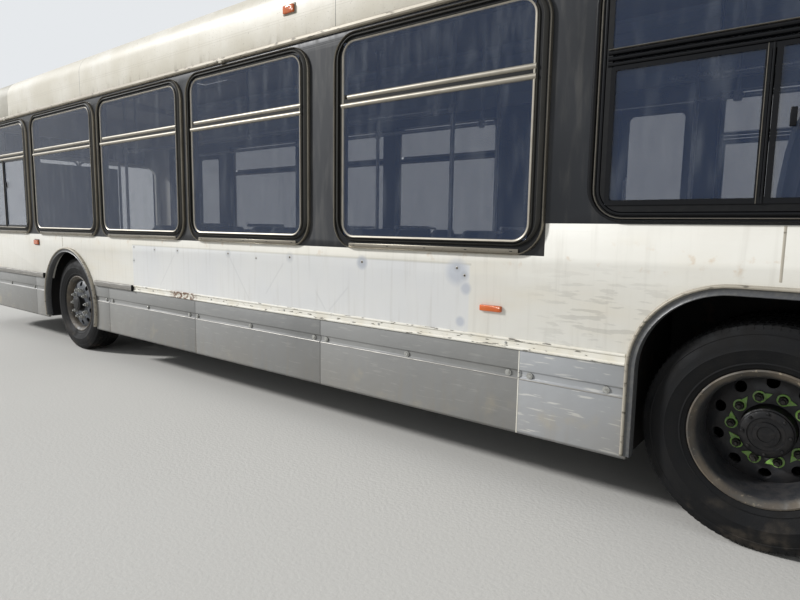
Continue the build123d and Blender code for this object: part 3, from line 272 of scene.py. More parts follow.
# Rivet holes left in it: place along X, height, smudge radius
RIVET_HOLES = [
    (1.963, 1.002, 0.03), (1.954, 1.122, 0.022), (1.611, 1.11, 0.03), (1.259, 1.114, 0.034), (0.578, 1.117, 0.04),
    (0.25, 1.097, 0.018), (-0.107, 1.118, 0.045), (-0.76, 1.117, 0.05), (-1.441, 1.117, 0.03), (-1.49, 1.08, 0.03),
]
# Faint seams of the bracing behind the panel, as straight marks
BRACE_MARKS = [
    ((0.578, 1.113), (0.326, 0.782)), ((-0.049, 1.083), (0.156, 0.84)), ((1.295, 1.093), (1.543, 0.803)),
    ((-0.351, 0.914), (-0.461, 0.774)), ((-0.461, 0.774), (-0.654, 0.963)),
]
# Filler under the paint: place along X, height, radius
FILLER_SPOTS = [(-1.441, 1.095, 0.085), (-0.76, 1.112, 0.05), (-1.5, 1.01, 0.04), (-1.47, 0.83, 0.035)]


def road_dirt(tree, top):
    """Dust that thickens from a height down to the ground, in streaks that rain has drawn."""
    streaks = clouds(tree, 0.05, 0.35, 0.75, stretch=(1, 1, 9))
    patches = either(tree, streaks, clouds(tree, 0.6, 0.3, 0.8))
    return product(tree, remap(tree, along(tree, "Z"), 0.25, top, 1.0, 0.0), patches)


def left_side(tree):
    return remap(tree, along(tree, "Y"), 0, 0.1)


@finish_maker
def aged_white_enamel(tree):
    """Two-pack enamel rolled on over aluminium: chalky, yellowed at its edges, streaked under the windows."""
    left = left_side(tree)
    repainted = product(tree, between(tree, "X", *REPAINT_X, 0.006), between(tree, "Z", *REPAINT_Z, 0.003), left)
    blotches = clouds(tree, 0.5, 0.35, 0.7)
    brushed = clouds(tree, 0.012, 0.4, 0.7, stretch=(30, 1, 1))
    scuffs = clouds(tree, 0.02, 0.52, 0.6, stretch=(6, 1, 1))
    scuffed = product(tree, between(tree, "X", -2.55, -1.95, 0.15), between(tree, "Z", 0.78, 1.1, 0.1), scuffs)
    rust_bleed = product(tree, between(tree, "Z", 1.15, 1.26, 0.03), clouds(tree, 0.06, 0.6, 0.75, shift=2.0))
    edge_x, edge_z = (REPAINT_X[0] - 0.01, REPAINT_X[1] + 0.01), (REPAINT_Z[1] - 0.006, REPAINT_Z[1] + 0.006)
    edge = product(tree, left, between(tree, "X", *edge_x, 0.003), between(tree, "Z", *edge_z, 0.003))
    marks = either(tree, *[stroke(tree, start, end, 0.011) for start, end in BRACE_MARKS])
    filler = either(tree, *[spot(tree, x, z, radius, 0.5) for x, z, radius in FILLER_SPOTS])
    smudges = either(tree, *[spot(tree, x, z, radius, 0.6) for x, z, radius in RIVET_HOLES])
    dress(
        tree,
        paint().body,
        (blotches, "#D3CDC0", 0.3),
        (clouds(tree, 0.22, 0.48, 0.8, stretch=(3, 1, 1), shift=4.0), "#DCCFB2", 0.3),
        (repainted, paint().repaint),
        (product(tree, repainted, blotches), "#CDD0D6", 0.3),
        (clouds(tree, 0.035, 0.5, 0.8, stretch=(1, 1, 14), shift=9.0), "#9F998C", 0.2),
        (rust_bleed, "#B9925E", 0.35),
        (scuffed, "#9A978F", 0.3),
        (road_dirt(tree, 1.0), "#8E8673", 0.25),
        (edge, "#A9A596", 0.35),
        (product(tree, left, marks), "#9C9DA0", 0.16),
        (product(tree, left, filler), "#B7BCC6", 0.75),
        (product(tree, left, smudges), "#A3A6AB", 0.4),
        relief=either(tree, product(tree, blotches, 0.6), product(tree, brushed, 0.05)),
        depth=0.0025,
        Roughness=(brushed, 0.36, 0.5),
    )


@finish_maker
def yellowed_cove_enamel(tree):
    """Sprayed enamel on the rounded upper panels: creamier where the sun has aged it, with fine seam lines and lines
    of painted shade along two pressed ridges.
    """
    seams = [between(tree, "X", x - 0.0025, x + 0.0025, 0.0005) for x in (4.734, 2.908, -0.508, -3.9)]
    ridge_shade_lines = [between(tree, "Z", z - 0.002, z + 0.002, 0.001) for z in (2.655, 2.672)]
    blotches = clouds(tree, 0.35, 0.35, 0.75)
    drips = product(tree, between(tree, "Z", 2.5, 2.58, 0.03), clouds(tree, 0.05, 0.5, 0.75, stretch=(1, 1, 5)))
    dress(
        tree,
        paint().cove,
        (blotches, "#EAE7DF", 0.5),
        (clouds(tree, 0.03, 0.5, 0.8, stretch=(1, 1, 10)), "#B9AE97", 0.2),
        (drips, "#8B8270", 0.45),
        (clouds(tree, 0.012, 0.66, 0.72, detail=2.0), "#7E7769", 0.5),
        # Darker lines along two pressed ridges: painted shade
        (either(tree, *ridge_shade_lines), "#A39C8B", 0.3),
        (either(tree, *seams), "#3B3833", 0.85),
        relief=blotches,
        depth=0.0012,
        Roughness=0.42,
    )


@finish_maker
def weathered_roof_enamel(tree):
    """The roof's matt enamel: grey film in the low places and soot towards the rear."""
    soot = product(tree, remap(tree, along(tree, "X"), -6.0, -2.0, 1.0, 0.0), clouds(tree, 0.2, 0.3, 0.7))
    film = (clouds(tree, 0.7, 0.35, 0.7), "#A9A496", 0.55)
    dress(tree, paint().roof, film, (soot, "#6F6B63", 0.5), relief=clouds(tree, 0.05), depth=0.0008, Roughness=0.62)


@finish_maker
def aged_black_band(tree):
    """Black polyurethane paint on the window band: faded to charcoal, dusty in streaks under the gutter."""
    dust = clouds(tree, 0.05, 0.45, 0.8, stretch=(1, 1, 6))
    dress(
        tree,
        paint().band,
        (clouds(tree, 0.5, 0.35, 0.7), "#303236", 0.4),
        (dust, "#77736A", 0.14),
        (road_dirt(tree, 1.45), "#6F6A5E", 0.25),
        relief=dust,
        depth=0.0004,
        Roughness=(dust, 0.38, 0.55),
        Specular_IOR_Level=0.3,
    )


@finish_maker
def grey_skirt_enamel(tree):
    """Satin grey paint on folded sheet: rubbed along the foot, one panel lighter and scraped."""
    renewed = product(tree, between(tree, "X", -2.36, -1.826, 0.001), left_side(tree))
    scrapes = clouds(tree, 0.014, 0.6, 0.68, stretch=(10, 1, 1))
    patch = product(tree, between(tree, "Z", 0.3, 0.46, 0.05), clouds(tree, 0.18, 0.55, 0.75, shift=1.0))
    dress(
        tree,
        paint().skirt,
        (clouds(tree, 0.9, 0.35, 0.7), "#767778", 0.35),
        (renewed, "#97999B"),
        (product(tree, renewed, scrapes), "#C6C5C0", 0.7),
        (scrapes, "#B2B0A9", 0.18),
        (patch, "#A9A08B", 0.5),
        (road_dirt(tree, 0.62), "#8D8270", 0.35),
        (between(tree, "Z", 0.285, 0.3, 0.004), "#3A3936", 0.7),
        relief=clouds(tree, 0.5, 0.3, 0.75, shift=6.0),
        depth=0.006,
        Roughness=(clouds(tree, 0.3), 0.38, 0.52),
    )


@finish_maker
def chipped_rail_enamel(tree):
    """White brushed onto an aluminium extrusion: chipped to metal on its lips, torn and rusty at one blow."""
    chips = clouds(tree, 0.012, 0.62, 0.66, stretch=(5, 1, 1), detail=3.0)
    torn = product(tree, between(tree, "X", 1.02, 1.36, 0.05), clouds(tree, 0.03, 0.42, 0.55))
    aged = (clouds(tree, 0.12, 0.4, 0.75), "#C9BFA4", 0.4)
    blow = (product(tree, torn, left_side(tree)), "#6B4A31")
    relief = either(tree, chips, torn)
    dress(tree, "#E3E0D6", aged, (chips, "#77736A"), blow, relief=relief, depth=0.0015, Roughness=0.44)


# Metals


@finish_maker
def anodised_window_bead(tree):
    """Rolled and anodised aluminium: dark bronze-grey from the side, a pale line where the light rakes it."""
    tarnish = clouds(tree, 0.05, 0.42, 0.75, stretch=(4, 1, 4))
    pits = (clouds(tree, 0.008, 0.62, 0.7), "#3B3833", 0.5)
    dress(tree, "#857F73", (tarnish, "#625C52", 0.5), pits, Metallic=0.8, Roughness=(tarnish, 0.3, 0.42))


@finish_maker
def painted_shade_window_bead(tree):
    """The same extrusion as a darker copy, a painted shade for where the light doesn't reach it: a soft dark grey.
    """
    tarnish = clouds(tree, 0.05, 0.42, 0.75, stretch=(4, 1, 4))
    dress(tree, "#2B2A27", (tarnish, "#403D37", 0.4), Metallic=0.4, Roughness=0.5)


@finish_maker
def painted_highlight_bead(tree):
    """The narrow bead next to the glass: a lighter copy of the frame's aluminium that paints the highlight it
    catches, with fine scratches.
    """
    scratches = clouds(tree, 0.006, 0.45, 0.7, stretch=(8, 1, 8))
    dress(tree, "#9A9488", (scratches, "#746D60", 0.35), Metallic=0.5, Roughness=0.42)


@finish_maker
def oxidised_gutter_aluminium(tree):
    """A mill-finish extrusion along the roof's edge: dull, grey-beige, black with dirt in its corners."""
    dirt = clouds(tree, 0.02, 0.55, 0.68, stretch=(3, 1, 1))
    coats = (clouds(tree, 0.3, 0.4, 0.7), "#BDB7AA", 0.5), (dirt, "#4A453D", 0.75)
    dress(tree, "#A59E90", *coats, relief=dirt, depth=0.0008, Metallic=0.35, Roughness=0.5)


@finish_maker
def worn_rail_aluminium(tree):
    """Ribbed aluminium bumper strip: grey oxide with bright rubbed streaks."""
    streaks = clouds(tree, 0.008, 0.5, 0.7, stretch=(20, 1, 1))
    oxide = (clouds(tree, 0.1, 0.5, 0.8), "#625E57", 0.5)
    rubbed = (streaks, "#B9B5AC", 0.6)
    dress(tree, "#8D8A85", rubbed, oxide, relief=streaks, depth=0.0005, Metallic=0.5, Roughness=0.42)


@finish_maker
def zinc_fastener_steel(tree):
    """Zinc-plated bolt heads: a bright grey gone white in places."""
    dress(tree, "#B4B4B0", (clouds(tree, 0.01, 0.45, 0.7), "#85847F"), Metallic=0.7, Roughness=0.36)


@finish_maker
def shade_darkened_nut_steel(tree):
    """Forged nuts painted nearly black as the shade deep in the twin wheels' dish, with worn metal on the corners.
    """
    dress(tree, "#24221F", (clouds(tree, 0.006, 0.55, 0.7), "#6C6860", 0.6), Metallic=0.4, Roughness=0.5)


@finish_maker
def rusty_rim_enamel(tree):
    """A stamped steel rim under old enamel: tan rust over the flange, painted nearly black further in as the shade
    of the deep dish.
    """
    lip = remap(tree, reach_from(tree, REAR_AXLE_X, AXLE_Z), 0.256, 0.27)
    brown = clouds(tree, 0.05, 0.35, 0.65, detail=8.0)
    dress(
        tree,
        "#2A2B2E",
        (brown, "#3A322B", 0.25),
        (lip, "#45423D"),
        (product(tree, lip, clouds(tree, 0.12, 0.4, 0.7)), "#625A4E"),
        (product(tree, lip, brown), "#54483B", 0.4),
        # Pale spots on the flange's lip: painted highlights
        (product(tree, lip, clouds(tree, 0.02, 0.6, 0.7)), "#A79A83", 0.5),
        relief=brown,
        Roughness=(brown, 0.5, 0.75),
    )


@finish_maker
def grey_rim_enamel(tree):
    """The steered wheels' blue-grey enamel: dusty, with brake dust round the holes."""
    dust = clouds(tree, 0.04, 0.35, 0.7)
    rim = (remap(tree, reach_from(tree, FRONT_AXLE_X, AXLE_Z), 0.25, 0.28), "#5E5950", 0.7)
    dress(tree, "#4A4E54", (dust, "#353331", 0.4), rim, relief=dust, depth=0.0007, Roughness=0.5)


@finish_maker
def black_hub_casting(tree):
    """A cast hub under black paint: greasy in the middle, dusty round its edge."""
    dust = clouds(tree, 0.03, 0.4, 0.7)
    gloss = {"Roughness": (dust, 0.4, 0.65), "Specular_IOR_Level": 0.3}
    dress(tree, "#0C0C0E", (dust, "#2B2621", 0.25), relief=dust, depth=0.0008, **gloss)


@finish_maker
def chassis_black(tree):
    """Brushed underbody paint with road film and rust at the edges."""
    rust = clouds(tree, 0.09, 0.58, 0.7, detail=8.0)
    film = (clouds(tree, 0.4, 0.35, 0.7), "#2B2722", 0.35)
    gloss = {"Roughness": 0.68, "Specular_IOR_Level": 0.3}
    dress(tree, "#101011", film, (rust, "#3E2B20", 0.4), relief=rust, depth=0.0015, **gloss)


@finish_maker
def brushed_stainless_tube(tree):
    """Stainless grab rails, brushed along and worn by hands."""
    grain = clouds(tree, 0.004, 0.3, 0.7, stretch=(1, 1, 30))
    dress(tree, "#B8B9BA", (grain, "#8E9092", 0.3), Metallic=1.0, Roughness=(grain, 0.22, 0.36))


# Rubber, plastic and glass


@finish_maker
def glazing_rubber(tree):
    """Extruded EPDM seals: matt black, greyed where dust clings."""
    dust = clouds(tree, 0.03, 0.45, 0.75)
    gloss = {"Roughness": 0.58, "Specular_IOR_Level": 0.2}
    dress(tree, "#08090B", (dust, "#2C2B29", 0.12), relief=dust, depth=0.0003, **gloss)


@finish_maker
def black_window_frame(tree):
    """Black anodised sliding frames: a soft sheen on their edges and chalky streaks."""
    streaks = clouds(tree, 0.02, 0.5, 0.8, stretch=(5, 1, 1))
    dress(tree, "#0A0B0E", (streaks, "#3B3B3A", 0.08), Roughness=0.25, Specular_IOR_Level=0.2)


@finish_maker
def tyre_rubber(tree):
    """Vulcanised rubber: brown road dust on the sidewall, a rubbed tan smear low down, clean ribs."""
    dust = clouds(tree, 0.07, 0.3, 0.75)
    low = remap(tree, along(tree, "Z"), 0.05, 0.34, 1.0, 0.0)
    smear = (product(tree, clouds(tree, 0.13, 0.5, 0.72, shift=3.0), low), "#5F564B", 0.5)
    gloss = {"Roughness": (dust, 0.62, 0.85), "Specular_IOR_Level": 0.2}
    fine = clouds(tree, 0.004, 0.3, 0.7)
    dress(tree, "#0B0C0E", (dust, "#292725", 0.3), smear, relief=fine, depth=0.0004, **gloss)


@finish_maker
def worn_arch_moulding(tree):
    """Ribbed wheel-arch moulding: charcoal rubber greyed by grit, with a soft shine along its ribs."""
    grit = clouds(tree, 0.015, 0.4, 0.7)
    dress(tree, "#47484A", (grit, "#5E5D58", 0.5), relief=grit, depth=0.0004, Roughness=0.4)


@finish_maker
def ribbed_bumper_rubber(tree):
    """Moulded polyurethane bumpers: charcoal, scuffed pale at the corners."""
    scuffs = clouds(tree, 0.03, 0.58, 0.68, stretch=(1, 3, 1))
    bloom = (clouds(tree, 0.4, 0.35, 0.7), "#33332F", 0.4)
    dress(tree, "#232426", bloom, (scuffs, "#6A6762", 0.12), relief=scuffs, depth=0.0008, Roughness=0.62)


def tinted(tree, colour, alpha):
    """Glass that lets light through by its alpha, with drying marks on it."""
    film = clouds(tree, 0.06, 0.45, 0.8, stretch=(1, 1, 5))
    clear = {"Alpha": (film, alpha, alpha + 0.06), "Roughness": (film, 0.04, 0.14), "IOR": 1.52}
    dress(tree, colour, (film, "#8C9298", 0.25), Coat_Weight=0.5, Coat_Roughness=0.02, **clear)


@finish_maker
def tinted_side_glass(tree):
    """Float glass with a blue-grey body tint: the far windows show through it dimly."""
    tinted(tree, paint().glass, 0.4)


@finish_maker
def clear_windshield_glass(tree):
    """Laminated windshield: nearly clear, with a faint green edge."""
    tinted(tree, "#5F7472", 0.16)


def cells(tree, size, **inputs):
    """A pattern of cells about size metres across."""
    place = {"Vector": object_place(tree), "Scale": 1 / size, **inputs}
    return add_node(tree, "ShaderNodeTexVoronoi", place).outputs


@finish_maker
def sign_glass(tree):
    """The destination sign's pane: dark glass over a blank matrix of cells."""
    dots = remap(tree, cells(tree, 1 / 60, Randomness=0.0)["Distance"], 0.25, 0.4, 1.0, 0.0)
    dress(tree, "#0C0D0F", (dots, "#1E1E17"), Roughness=0.12, Coat_Weight=1.0)


def lens(tree, colour, flute_highlight):
    """Moulded acrylic with fine vertical flutes, and painted highlights along them."""
    wave = {"Vector": object_place(tree), "Scale": 60.0}
    flutes = add_node(tree, "ShaderNodeTexWave", wave, bands_direction="DIAGONAL").outputs["Fac"]
    acrylic = {"Roughness": 0.12, "IOR": 1.49, "Subsurface_Weight": 0.15, "Coat_Weight": 0.6}
    dress(tree, colour, (flutes, flute_highlight, 0.35), relief=flutes, depth=0.0012, **acrylic)


@finish_maker
def amber_lens(tree):
    """Amber acrylic: orange with painted highlights on its flutes."""
    lens(tree, "#C4510B", "#F08A2A")


@finish_maker
def red_lens(tree):
    """Red acrylic: deep red with painted highlights on its flutes."""
    lens(tree, "#8E0F0F", "#C8342C")


@finish_maker
def clear_lens(tree):
    """Clear polycarbonate over a bright reflector, lightly hazed, with painted highlights on its flutes."""
    lens(tree, "#AEB4B8", "#E3E6E8")


@finish_maker
def mirror_glass(tree):
    """Silvered convex glass."""
    haze = clouds(tree, 0.1, 0.5, 0.8)
    dress(tree, "#C9CDD0", (haze, "#A4A8AA", 0.3), Metallic=1.0, Roughness=(haze, 0.03, 0.12))


@finish_maker
def indicator_plastic(tree):
    """Moulded lime polyethylene, bleached pale round its ring and dusty on the pointer."""
    dust = clouds(tree, 0.012, 0.35, 0.7)
    dress(tree, "#7FAE4A", (dust, "#8C9B76", 0.7), Roughness=0.55, Subsurface_Weight=0.1)


@finish_maker
def speckled_vinyl_floor(tree):
    """Safety vinyl: dark grey with pale and dark quartz chips two millimetres across, drawn five times larger."""
    tone = add_node(tree, "ShaderNodeSeparateXYZ", {0: cells(tree, 1 / 95)["Color"]}).outputs[0]
    chips = (remap(tree, tone, 0.82, 0.84), "#8B8F92"), (remap(tree, tone, 0.12, 0.1), "#1E2022")
    worn = (clouds(tree, 0.6, 0.4, 0.7), "#6A655C", 0.35)
    dress(tree, "#45484C", *chips, worn, relief=tone, depth=0.0004, Roughness=0.7)


@finish_maker
def moulded_seat_plastic(tree):
    """Grain-moulded polycarbonate seat shells: blue-grey, polished where people sit."""
    grain = clouds(tree, 0.004, 0.35, 0.65)
    wear = clouds(tree, 0.25, 0.45, 0.7)
    coats = (wear, "#6D747C", 0.4), (grain, "#363B43", 0.15)
    dress(tree, "#4E5661", *coats, relief=grain, depth=0.0003, Roughness=(wear, 0.5, 0.34))


@finish_maker
def grained_trim_plastic(tree):
    """Grained ABS of the dashboard, partition and mirror shells: charcoal with a leather grain."""
    worn = (clouds(tree, 0.2, 0.45, 0.75), "#45443F", 0.4)
    dress(tree, "#2A2C30", worn, relief=cells(tree, 1 / 260)["Distance"], depth=0.0006, Roughness=0.55)


@finish_maker
def cabin_lining(tree):
    """Melamine-faced wall and ceiling lining: pale grey with a fine texture."""
    worn = (clouds(tree, 0.7, 0.4, 0.7), "#83857F", 0.4)
    dress(tree, "#9A9C9C", worn, relief=clouds(tree, 0.003, 0.3, 0.7), depth=0.0003, Roughness=0.6)


@finish_maker
def woven_seat_moquette(tree):
    """Wool moquette on the driver's cushions: a close cut pile with flecks of blue in charcoal."""
    pile = cells(tree, 1 / 420)
    fleck = add_node(tree, "ShaderNodeSeparateXYZ", {0: pile["Color"]}).outputs[0]
    coats = (remap(tree, fleck, 0.7, 0.75), "#39465C"), (clouds(tree, 0.15, 0.4, 0.7), "#4A4A48", 0.3)
    cloth = {"Roughness": 0.92, "Sheen_Weight": 0.4, "Sheen_Roughness": 0.5}
    dress(tree, "#26282D", *coats, relief=pile["Distance"], depth=0.0012, **cloth)


@finish_maker
def pale_floor(tree):
    """The stage's floor: plain pale screed with the least of a grain."""
    stains = (clouds(tree, 2.5, 0.3, 0.7), "#B9B7B1", 0.12)
    grain = clouds(tree, 0.02, 0.3, 0.7)
    dress(tree, bpy.context.scene.bus_stage.floor, stains, relief=grain, depth=0.0005, Roughness=0.85)




# Forms

class Box(collections.namedtuple("Box", "low high")):
    """A solid's box, with its middle, and its side: 1 on the bus's left and -1 on its right."""

    @property
    def middle(self):
        return (self.low + self.high) / 2

    @property
    def side(self):
        return 1 if self.low.y > 0 else -1


@functools.cache
def islands(node):
    """The boxes of a CAD node's separate solids, from the front backwards."""
    mesh = bmesh.new()
    mesh.from_mesh(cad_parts[node].data)
    bmesh.ops.remove_doubles(mesh, verts=mesh.verts, dist=1e-5)
    waiting = set(mesh.verts)
    boxes = []
    while waiting:
        reach = [waiting.pop()]
        points = []
        while reach:
            vertex = reach.pop()
            points.append(vertex.co.copy())
            for edge in vertex.link_edges:
                neighbour = edge.other_vert(vertex)
                if neighbour in waiting:
                    waiting.remove(neighbour)
                    reach.append(neighbour)
        low = Vector(min(point[axis] for point in points) for axis in range(3))
        high = Vector(max(point[axis] for point in points) for axis in range(3))
        boxes.append(Box(low, high))
    mesh.free()
    return sorted(boxes, key=lambda box: (-box.high.x, box.low.y, box.low.z))


def side_windows(side):
    """The window frames' boxes on the left, 1, or the right, -1, from the front backwards."""
    return [box for box in islands("window_frames") if box.side == side]


def circle(centre, radius, steps, axis):
    """Points round a circle whose axis runs along X, Y or Z."""
    points = []
    for i in range(steps):
        a = tau * i / steps
        offset = Vector((cos(a), sin(a)))
        offset = {"X": (0, *offset), "Y": (offset.x, 0, offset.y), "Z": (*offset, 0)}[axis]
        points.append(Vector(centre) + Vector(offset) * radius)
    return points


def rounded(low_a, high_a, low_b, high_b, radius, steps=6):
    """Pairs of places round a rectangle with rounded corners."""
    near_a, far_a, near_b, far_b = low_a + radius, high_a - radius, low_b + radius, high_b - radius
    pairs = []
    for quarter, (a, b) in enumerate(((far_a, far_b), (near_a, far_b), (near_a, near_b), (far_a, near_b))):
        for i in range(steps + 1):
            turn = (quarter + i / steps) * pi / 2
            pairs.append((a + radius * cos(turn), b + radius * sin(turn)))
    return pairs


def drawn_in(edges, inset, radius, steps):
    """A rounded rectangle with its four edges drawn in by an inset."""
    low_a, high_a, low_b, high_b = edges
    return rounded(low_a + inset, high_a - inset, low_b + inset, high_b - inset, radius, steps)


def ring_round(piece, edges, radius, steps, section, point, finish):
    """A closed bead round a rounded rectangle: its section is pairs of the inset and the place outwards."""
    loops = [[point(a, b, out) for a, b in drawn_in(edges, inset, radius, steps)] for inset, out in section]
    piece.loft(loops, finish, closed=True)


def half_round(low, high, base, proud, steps=6):
    """A half-round section: pairs of the place across it and the place outwards, closed along its base."""
    middle, half = (low + high) / 2, (high - low) / 2
    arc = [pi * i / steps for i in range(steps + 1)]
    return [(middle - half * cos(a), base + proud * sin(a)) for a in arc]


class Piece:
    """A mesh in the making, to which closed forms are added, each with its finish."""

    def __init__(self, name):
        self.name = name
        self.mesh = bmesh.new()
        self.materials = []

    def skin(self, finish):
        """The slot of a finish, added when it is new to the piece."""
        material = finish()
        if material not in self.materials:
            self.materials.append(material)
        return self.materials.index(material)

    def loft(self, loops, finish, closed=False):
        """Skins a row of loops; closed joins the last one to the first, and otherwise the ends are capped."""
        index = self.skin(finish)
        rows = [[self.mesh.verts.new(point) for point in loop] for loop in loops]
        pairs = list(zip(rows, rows[1:]))
        if closed:
            pairs.append((rows[-1], rows[0]))
        faces = []
        for row, after in pairs:
            for i in range(len(row)):
                j = (i + 1) % len(row)
                faces.append(self.mesh.faces.new((row[i], row[j], after[j], after[i])))
        if not closed:
            faces.append(self.mesh.faces.new(rows[0]))
            faces.append(self.mesh.faces.new(rows[-1]))
        for face in faces:
            face.material_index = index
        return faces

    def prism(self, outline, run, finish, bevel=0.0, steps=2):
        """An outline of points carried along a run, with its edges rounded by bevel."""
        run = Vector(run)
        faces = self.loft([outline, [Vector(point) + run for point in outline]], finish)
        if bevel:
            bmesh.ops.recalc_face_normals(self.mesh, faces=faces)
            self.round_off({edge for face in faces for edge in face.edges}, bevel, steps, finish)

    def round_off(self, edges, bevel, steps, finish):
        """Rounds the sharper of the edges."""
        sharp = [edge for edge in edges if edge.calc_face_angle(0) > radians(30)]
        shape = {"offset": bevel, "segments": steps, "profile": 0.5, "affect": "EDGES", "clamp_overlap": True}
        bmesh.ops.bevel(self.mesh, geom=sharp, material=self.skin(finish), **shape)

    def block(self, low, high, finish, bevel=0.0, steps=2):
        """A box between two corners, with rounded edges."""
        (x, y, z), (far_x, far_y, far_z) = low, high
        outline = [(x, y, z), (far_x, y, z), (far_x, far_y, z), (x, far_y, z)]
        self.prism(outline, (0, 0, far_z - z), finish, bevel, steps)

    def slab(self, side, xs, outs, zs, finish, bevel=0.0):
        """A box on the left side, 1, or the right, -1, between two places along X, outwards and up."""
        near, far = sorted(side * out for out in outs)
        self.block((xs[0], near, zs[0]), (xs[1], far, zs[1]), finish, bevel)

    def lathe(self, profile, centre, finish, steps, axis="Y", closed=False):
        """Turns a profile, pairs of radius and place along the axis from the centre, round that axis."""
        shift = {"X": Vector((1, 0, 0)), "Y": Vector((0, 1, 0)), "Z": Vector((0, 0, 1))}[axis]
        loops = [circle(Vector(centre) + shift * place, radius, steps, axis) for radius, place in profile]
        self.loft(loops, finish, closed)

    def tube(self, points, radius, finish, sides=10, closed=False):
        """A round bar along a row of points."""
        points = [Vector(point) for point in points]
        loops = []
        across = None
        for i, point in enumerate(points):
            before = points[i - 1] if i or closed else point
            after = points[(i + 1) % len(points)] if i + 1 < len(points) or closed else point
            heading = (after - before).normalized()
            if across is None:
                across = heading.orthogonal().normalized()
            across = (across - heading * across.dot(heading)).normalized()
            beside = heading.cross(across)
            turns = [tau * k / sides for k in range(sides)]
            loops.append([point + (across * cos(a) + beside * sin(a)) * radius for a in turns])
        self.loft(loops, finish, closed)

    def plate_with_holes(self, inner, outer, depth, thickness, finish):
        """A wheel's dished disc with its hand holes; depth gives its place along the axle at a radius."""
        disc = bmesh.new()
        for hole in range(HAND_HOLES):
            middle = tau * (hole + 0.5) / HAND_HOLES
            outward = Vector((cos(middle), 0, sin(middle)))
            along_rim = Vector((-sin(middle), 0, cos(middle)))
            rows = []
            for share in (0.0, 0.12, 0.45, 1.0):
                rows.append([])
                for a in [tau * k / 24 for k in range(24)]:
                    reach = max(abs(cos(a)), abs(sin(a)))
                    sweep, rise = cos(a) / reach, sin(a) / reach
                    span = outer - HAND_HOLE_CIRCLE if rise > 0 else HAND_HOLE_CIRCLE - inner
                    turn = middle + sweep * pi / HAND_HOLES
                    far = Vector((cos(turn), 0, sin(turn))) * (HAND_HOLE_CIRCLE + rise * span)
                    round_hole = along_rim * cos(a) + outward * sin(a)
                    place = (outward * HAND_HOLE_CIRCLE + round_hole * HAND_HOLE).lerp(far, share)
                    place.y = depth(place.length)
                    rows[-1].append(disc.verts.new(place))
            for row, after in zip(rows, rows[1:]):
                for i in range(24):
                    j = (i + 1) % 24
                    disc.faces.new((row[i], row[j], after[j], after[i]))
        bmesh.ops.remove_doubles(disc, verts=disc.verts, dist=1e-4)
        bmesh.ops.recalc_face_normals(disc, faces=disc.faces)
        bmesh.ops.solidify(disc, geom=disc.faces[:], thickness=thickness)
        self.absorb(disc, finish)

    def absorb(self, form, finish):
        """Takes another mesh in as it is, under one finish, and frees it."""
        index = self.skin(finish)
        for face in form.faces:
            face.material_index = index
        data = bpy.data.meshes.new("absorbed")
        form.to_mesh(data)
        form.free()
        self.mesh.from_mesh(data)
        bpy.data.meshes.remove(data)

    def repeat(self, tree, form, finish, **inputs):
        """Grows a form with a Geometry Nodes tree, given its named inputs, and takes the result in."""
        seed = form.shown()
        modifier = seed.modifiers.new("grow", "NODES")
        modifier.node_group = tree
        inputs["Material"] = finish()
        for item in tree.interface.items_tree:
            if item.name in inputs:
                modifier[item.identifier] = inputs[item.name]
        grown = bpy.data.meshes.new_from_object(seed.evaluated_get(bpy.context.evaluated_depsgraph_get()))
        plain = bmesh.new()
        plain.from_mesh(grown)
        data = seed.data
        bpy.data.objects.remove(seed)
        for spent in (data, grown):
            bpy.data.meshes.remove(spent)
        self.absorb(plain, finish)

    def shown(self):
        """Makes the object, its faces outwards."""
        bmesh.ops.recalc_face_normals(self.mesh, faces=self.mesh.faces)
        data = bpy.data.meshes.new(self.name)
        self.mesh.to_mesh(data)
        self.mesh.free()
        for material in self.materials:
            data.materials.append(material)
        piece = bpy.data.objects.new(self.name, data)
        bpy.context.collection.objects.link(piece)
        return piece

    def done(self, record_slot, *nodes, body="bus_body"):
        """Makes the object, smooth but for its creases, with its body and the nodes it replaces; its record slot is
        not used.
        """
        piece = self.shown()
        piece.data.shade_smooth()
        piece.data.set_sharp_from_angle(angle=radians(32))
        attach(piece, body)
        if nodes:
            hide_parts(*nodes)
        return piece


def dressed(node, finish, bevel, name=None):
    """A CAD node's own shape, its triangles merged and its edges rounded, under a finish."""
    piece = Piece(name or "finished_" + node)
    mesh = piece.mesh
    mesh.from_mesh(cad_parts[node].data)
    bmesh.ops.remove_doubles(mesh, verts=mesh.verts, dist=1e-5)
    bmesh.ops.dissolve_limit(mesh, angle_limit=radians(0.4), verts=mesh.verts, edges=mesh.edges)
    bmesh.ops.recalc_face_normals(mesh, faces=mesh.faces)
    index = piece.skin(finish)
    for face in mesh.faces:
        face.material_index = index
    if bevel:
        piece.round_off(mesh.edges, bevel, 2, finish)
    return piece


# Geometry Nodes


def new_tree(name, **inputs):
    """A Geometry Nodes tree with named inputs: the tree, its inputs' sockets and its output node."""
    tree = bpy.data.node_groups.new(name, "GeometryNodeTree")
    tree.interface.new_socket("Geometry", in_out="INPUT", socket_type="NodeSocketGeometry")
    tree.interface.new_socket("Geometry", in_out="OUTPUT", socket_type="NodeSocketGeometry")
    for input_name, kind in inputs.items():
        tree.interface.new_socket(input_name, in_out="INPUT", socket_type="NodeSocket" + kind)
    tree.interface.new_socket("Material", in_out="INPUT", socket_type="NodeSocketMaterial")
    return tree, add_node(tree, "NodeGroupInput").outputs


def end_tree(tree, given, geometry):
    """Ends a tree: its instances made real, under its material."""
    real = add_node(tree, "GeometryNodeRealizeInstances", {0: geometry}).outputs[0]
    coated = add_node(tree, "GeometryNodeSetMaterial", {"Geometry": real, "Material": given["Material"]})
    add_node(tree, "NodeGroupOutput", {0: coated.outputs[0]})
    return tree


def scattered(tree, given, points, form, **turn):
    """Ends a tree with a form set on each of some points."""
    places = {"Points": points.outputs[0], "Instance": form, **turn}
    return end_tree(tree, given, add_node(tree, "GeometryNodeInstanceOnPoints", places).outputs[0])


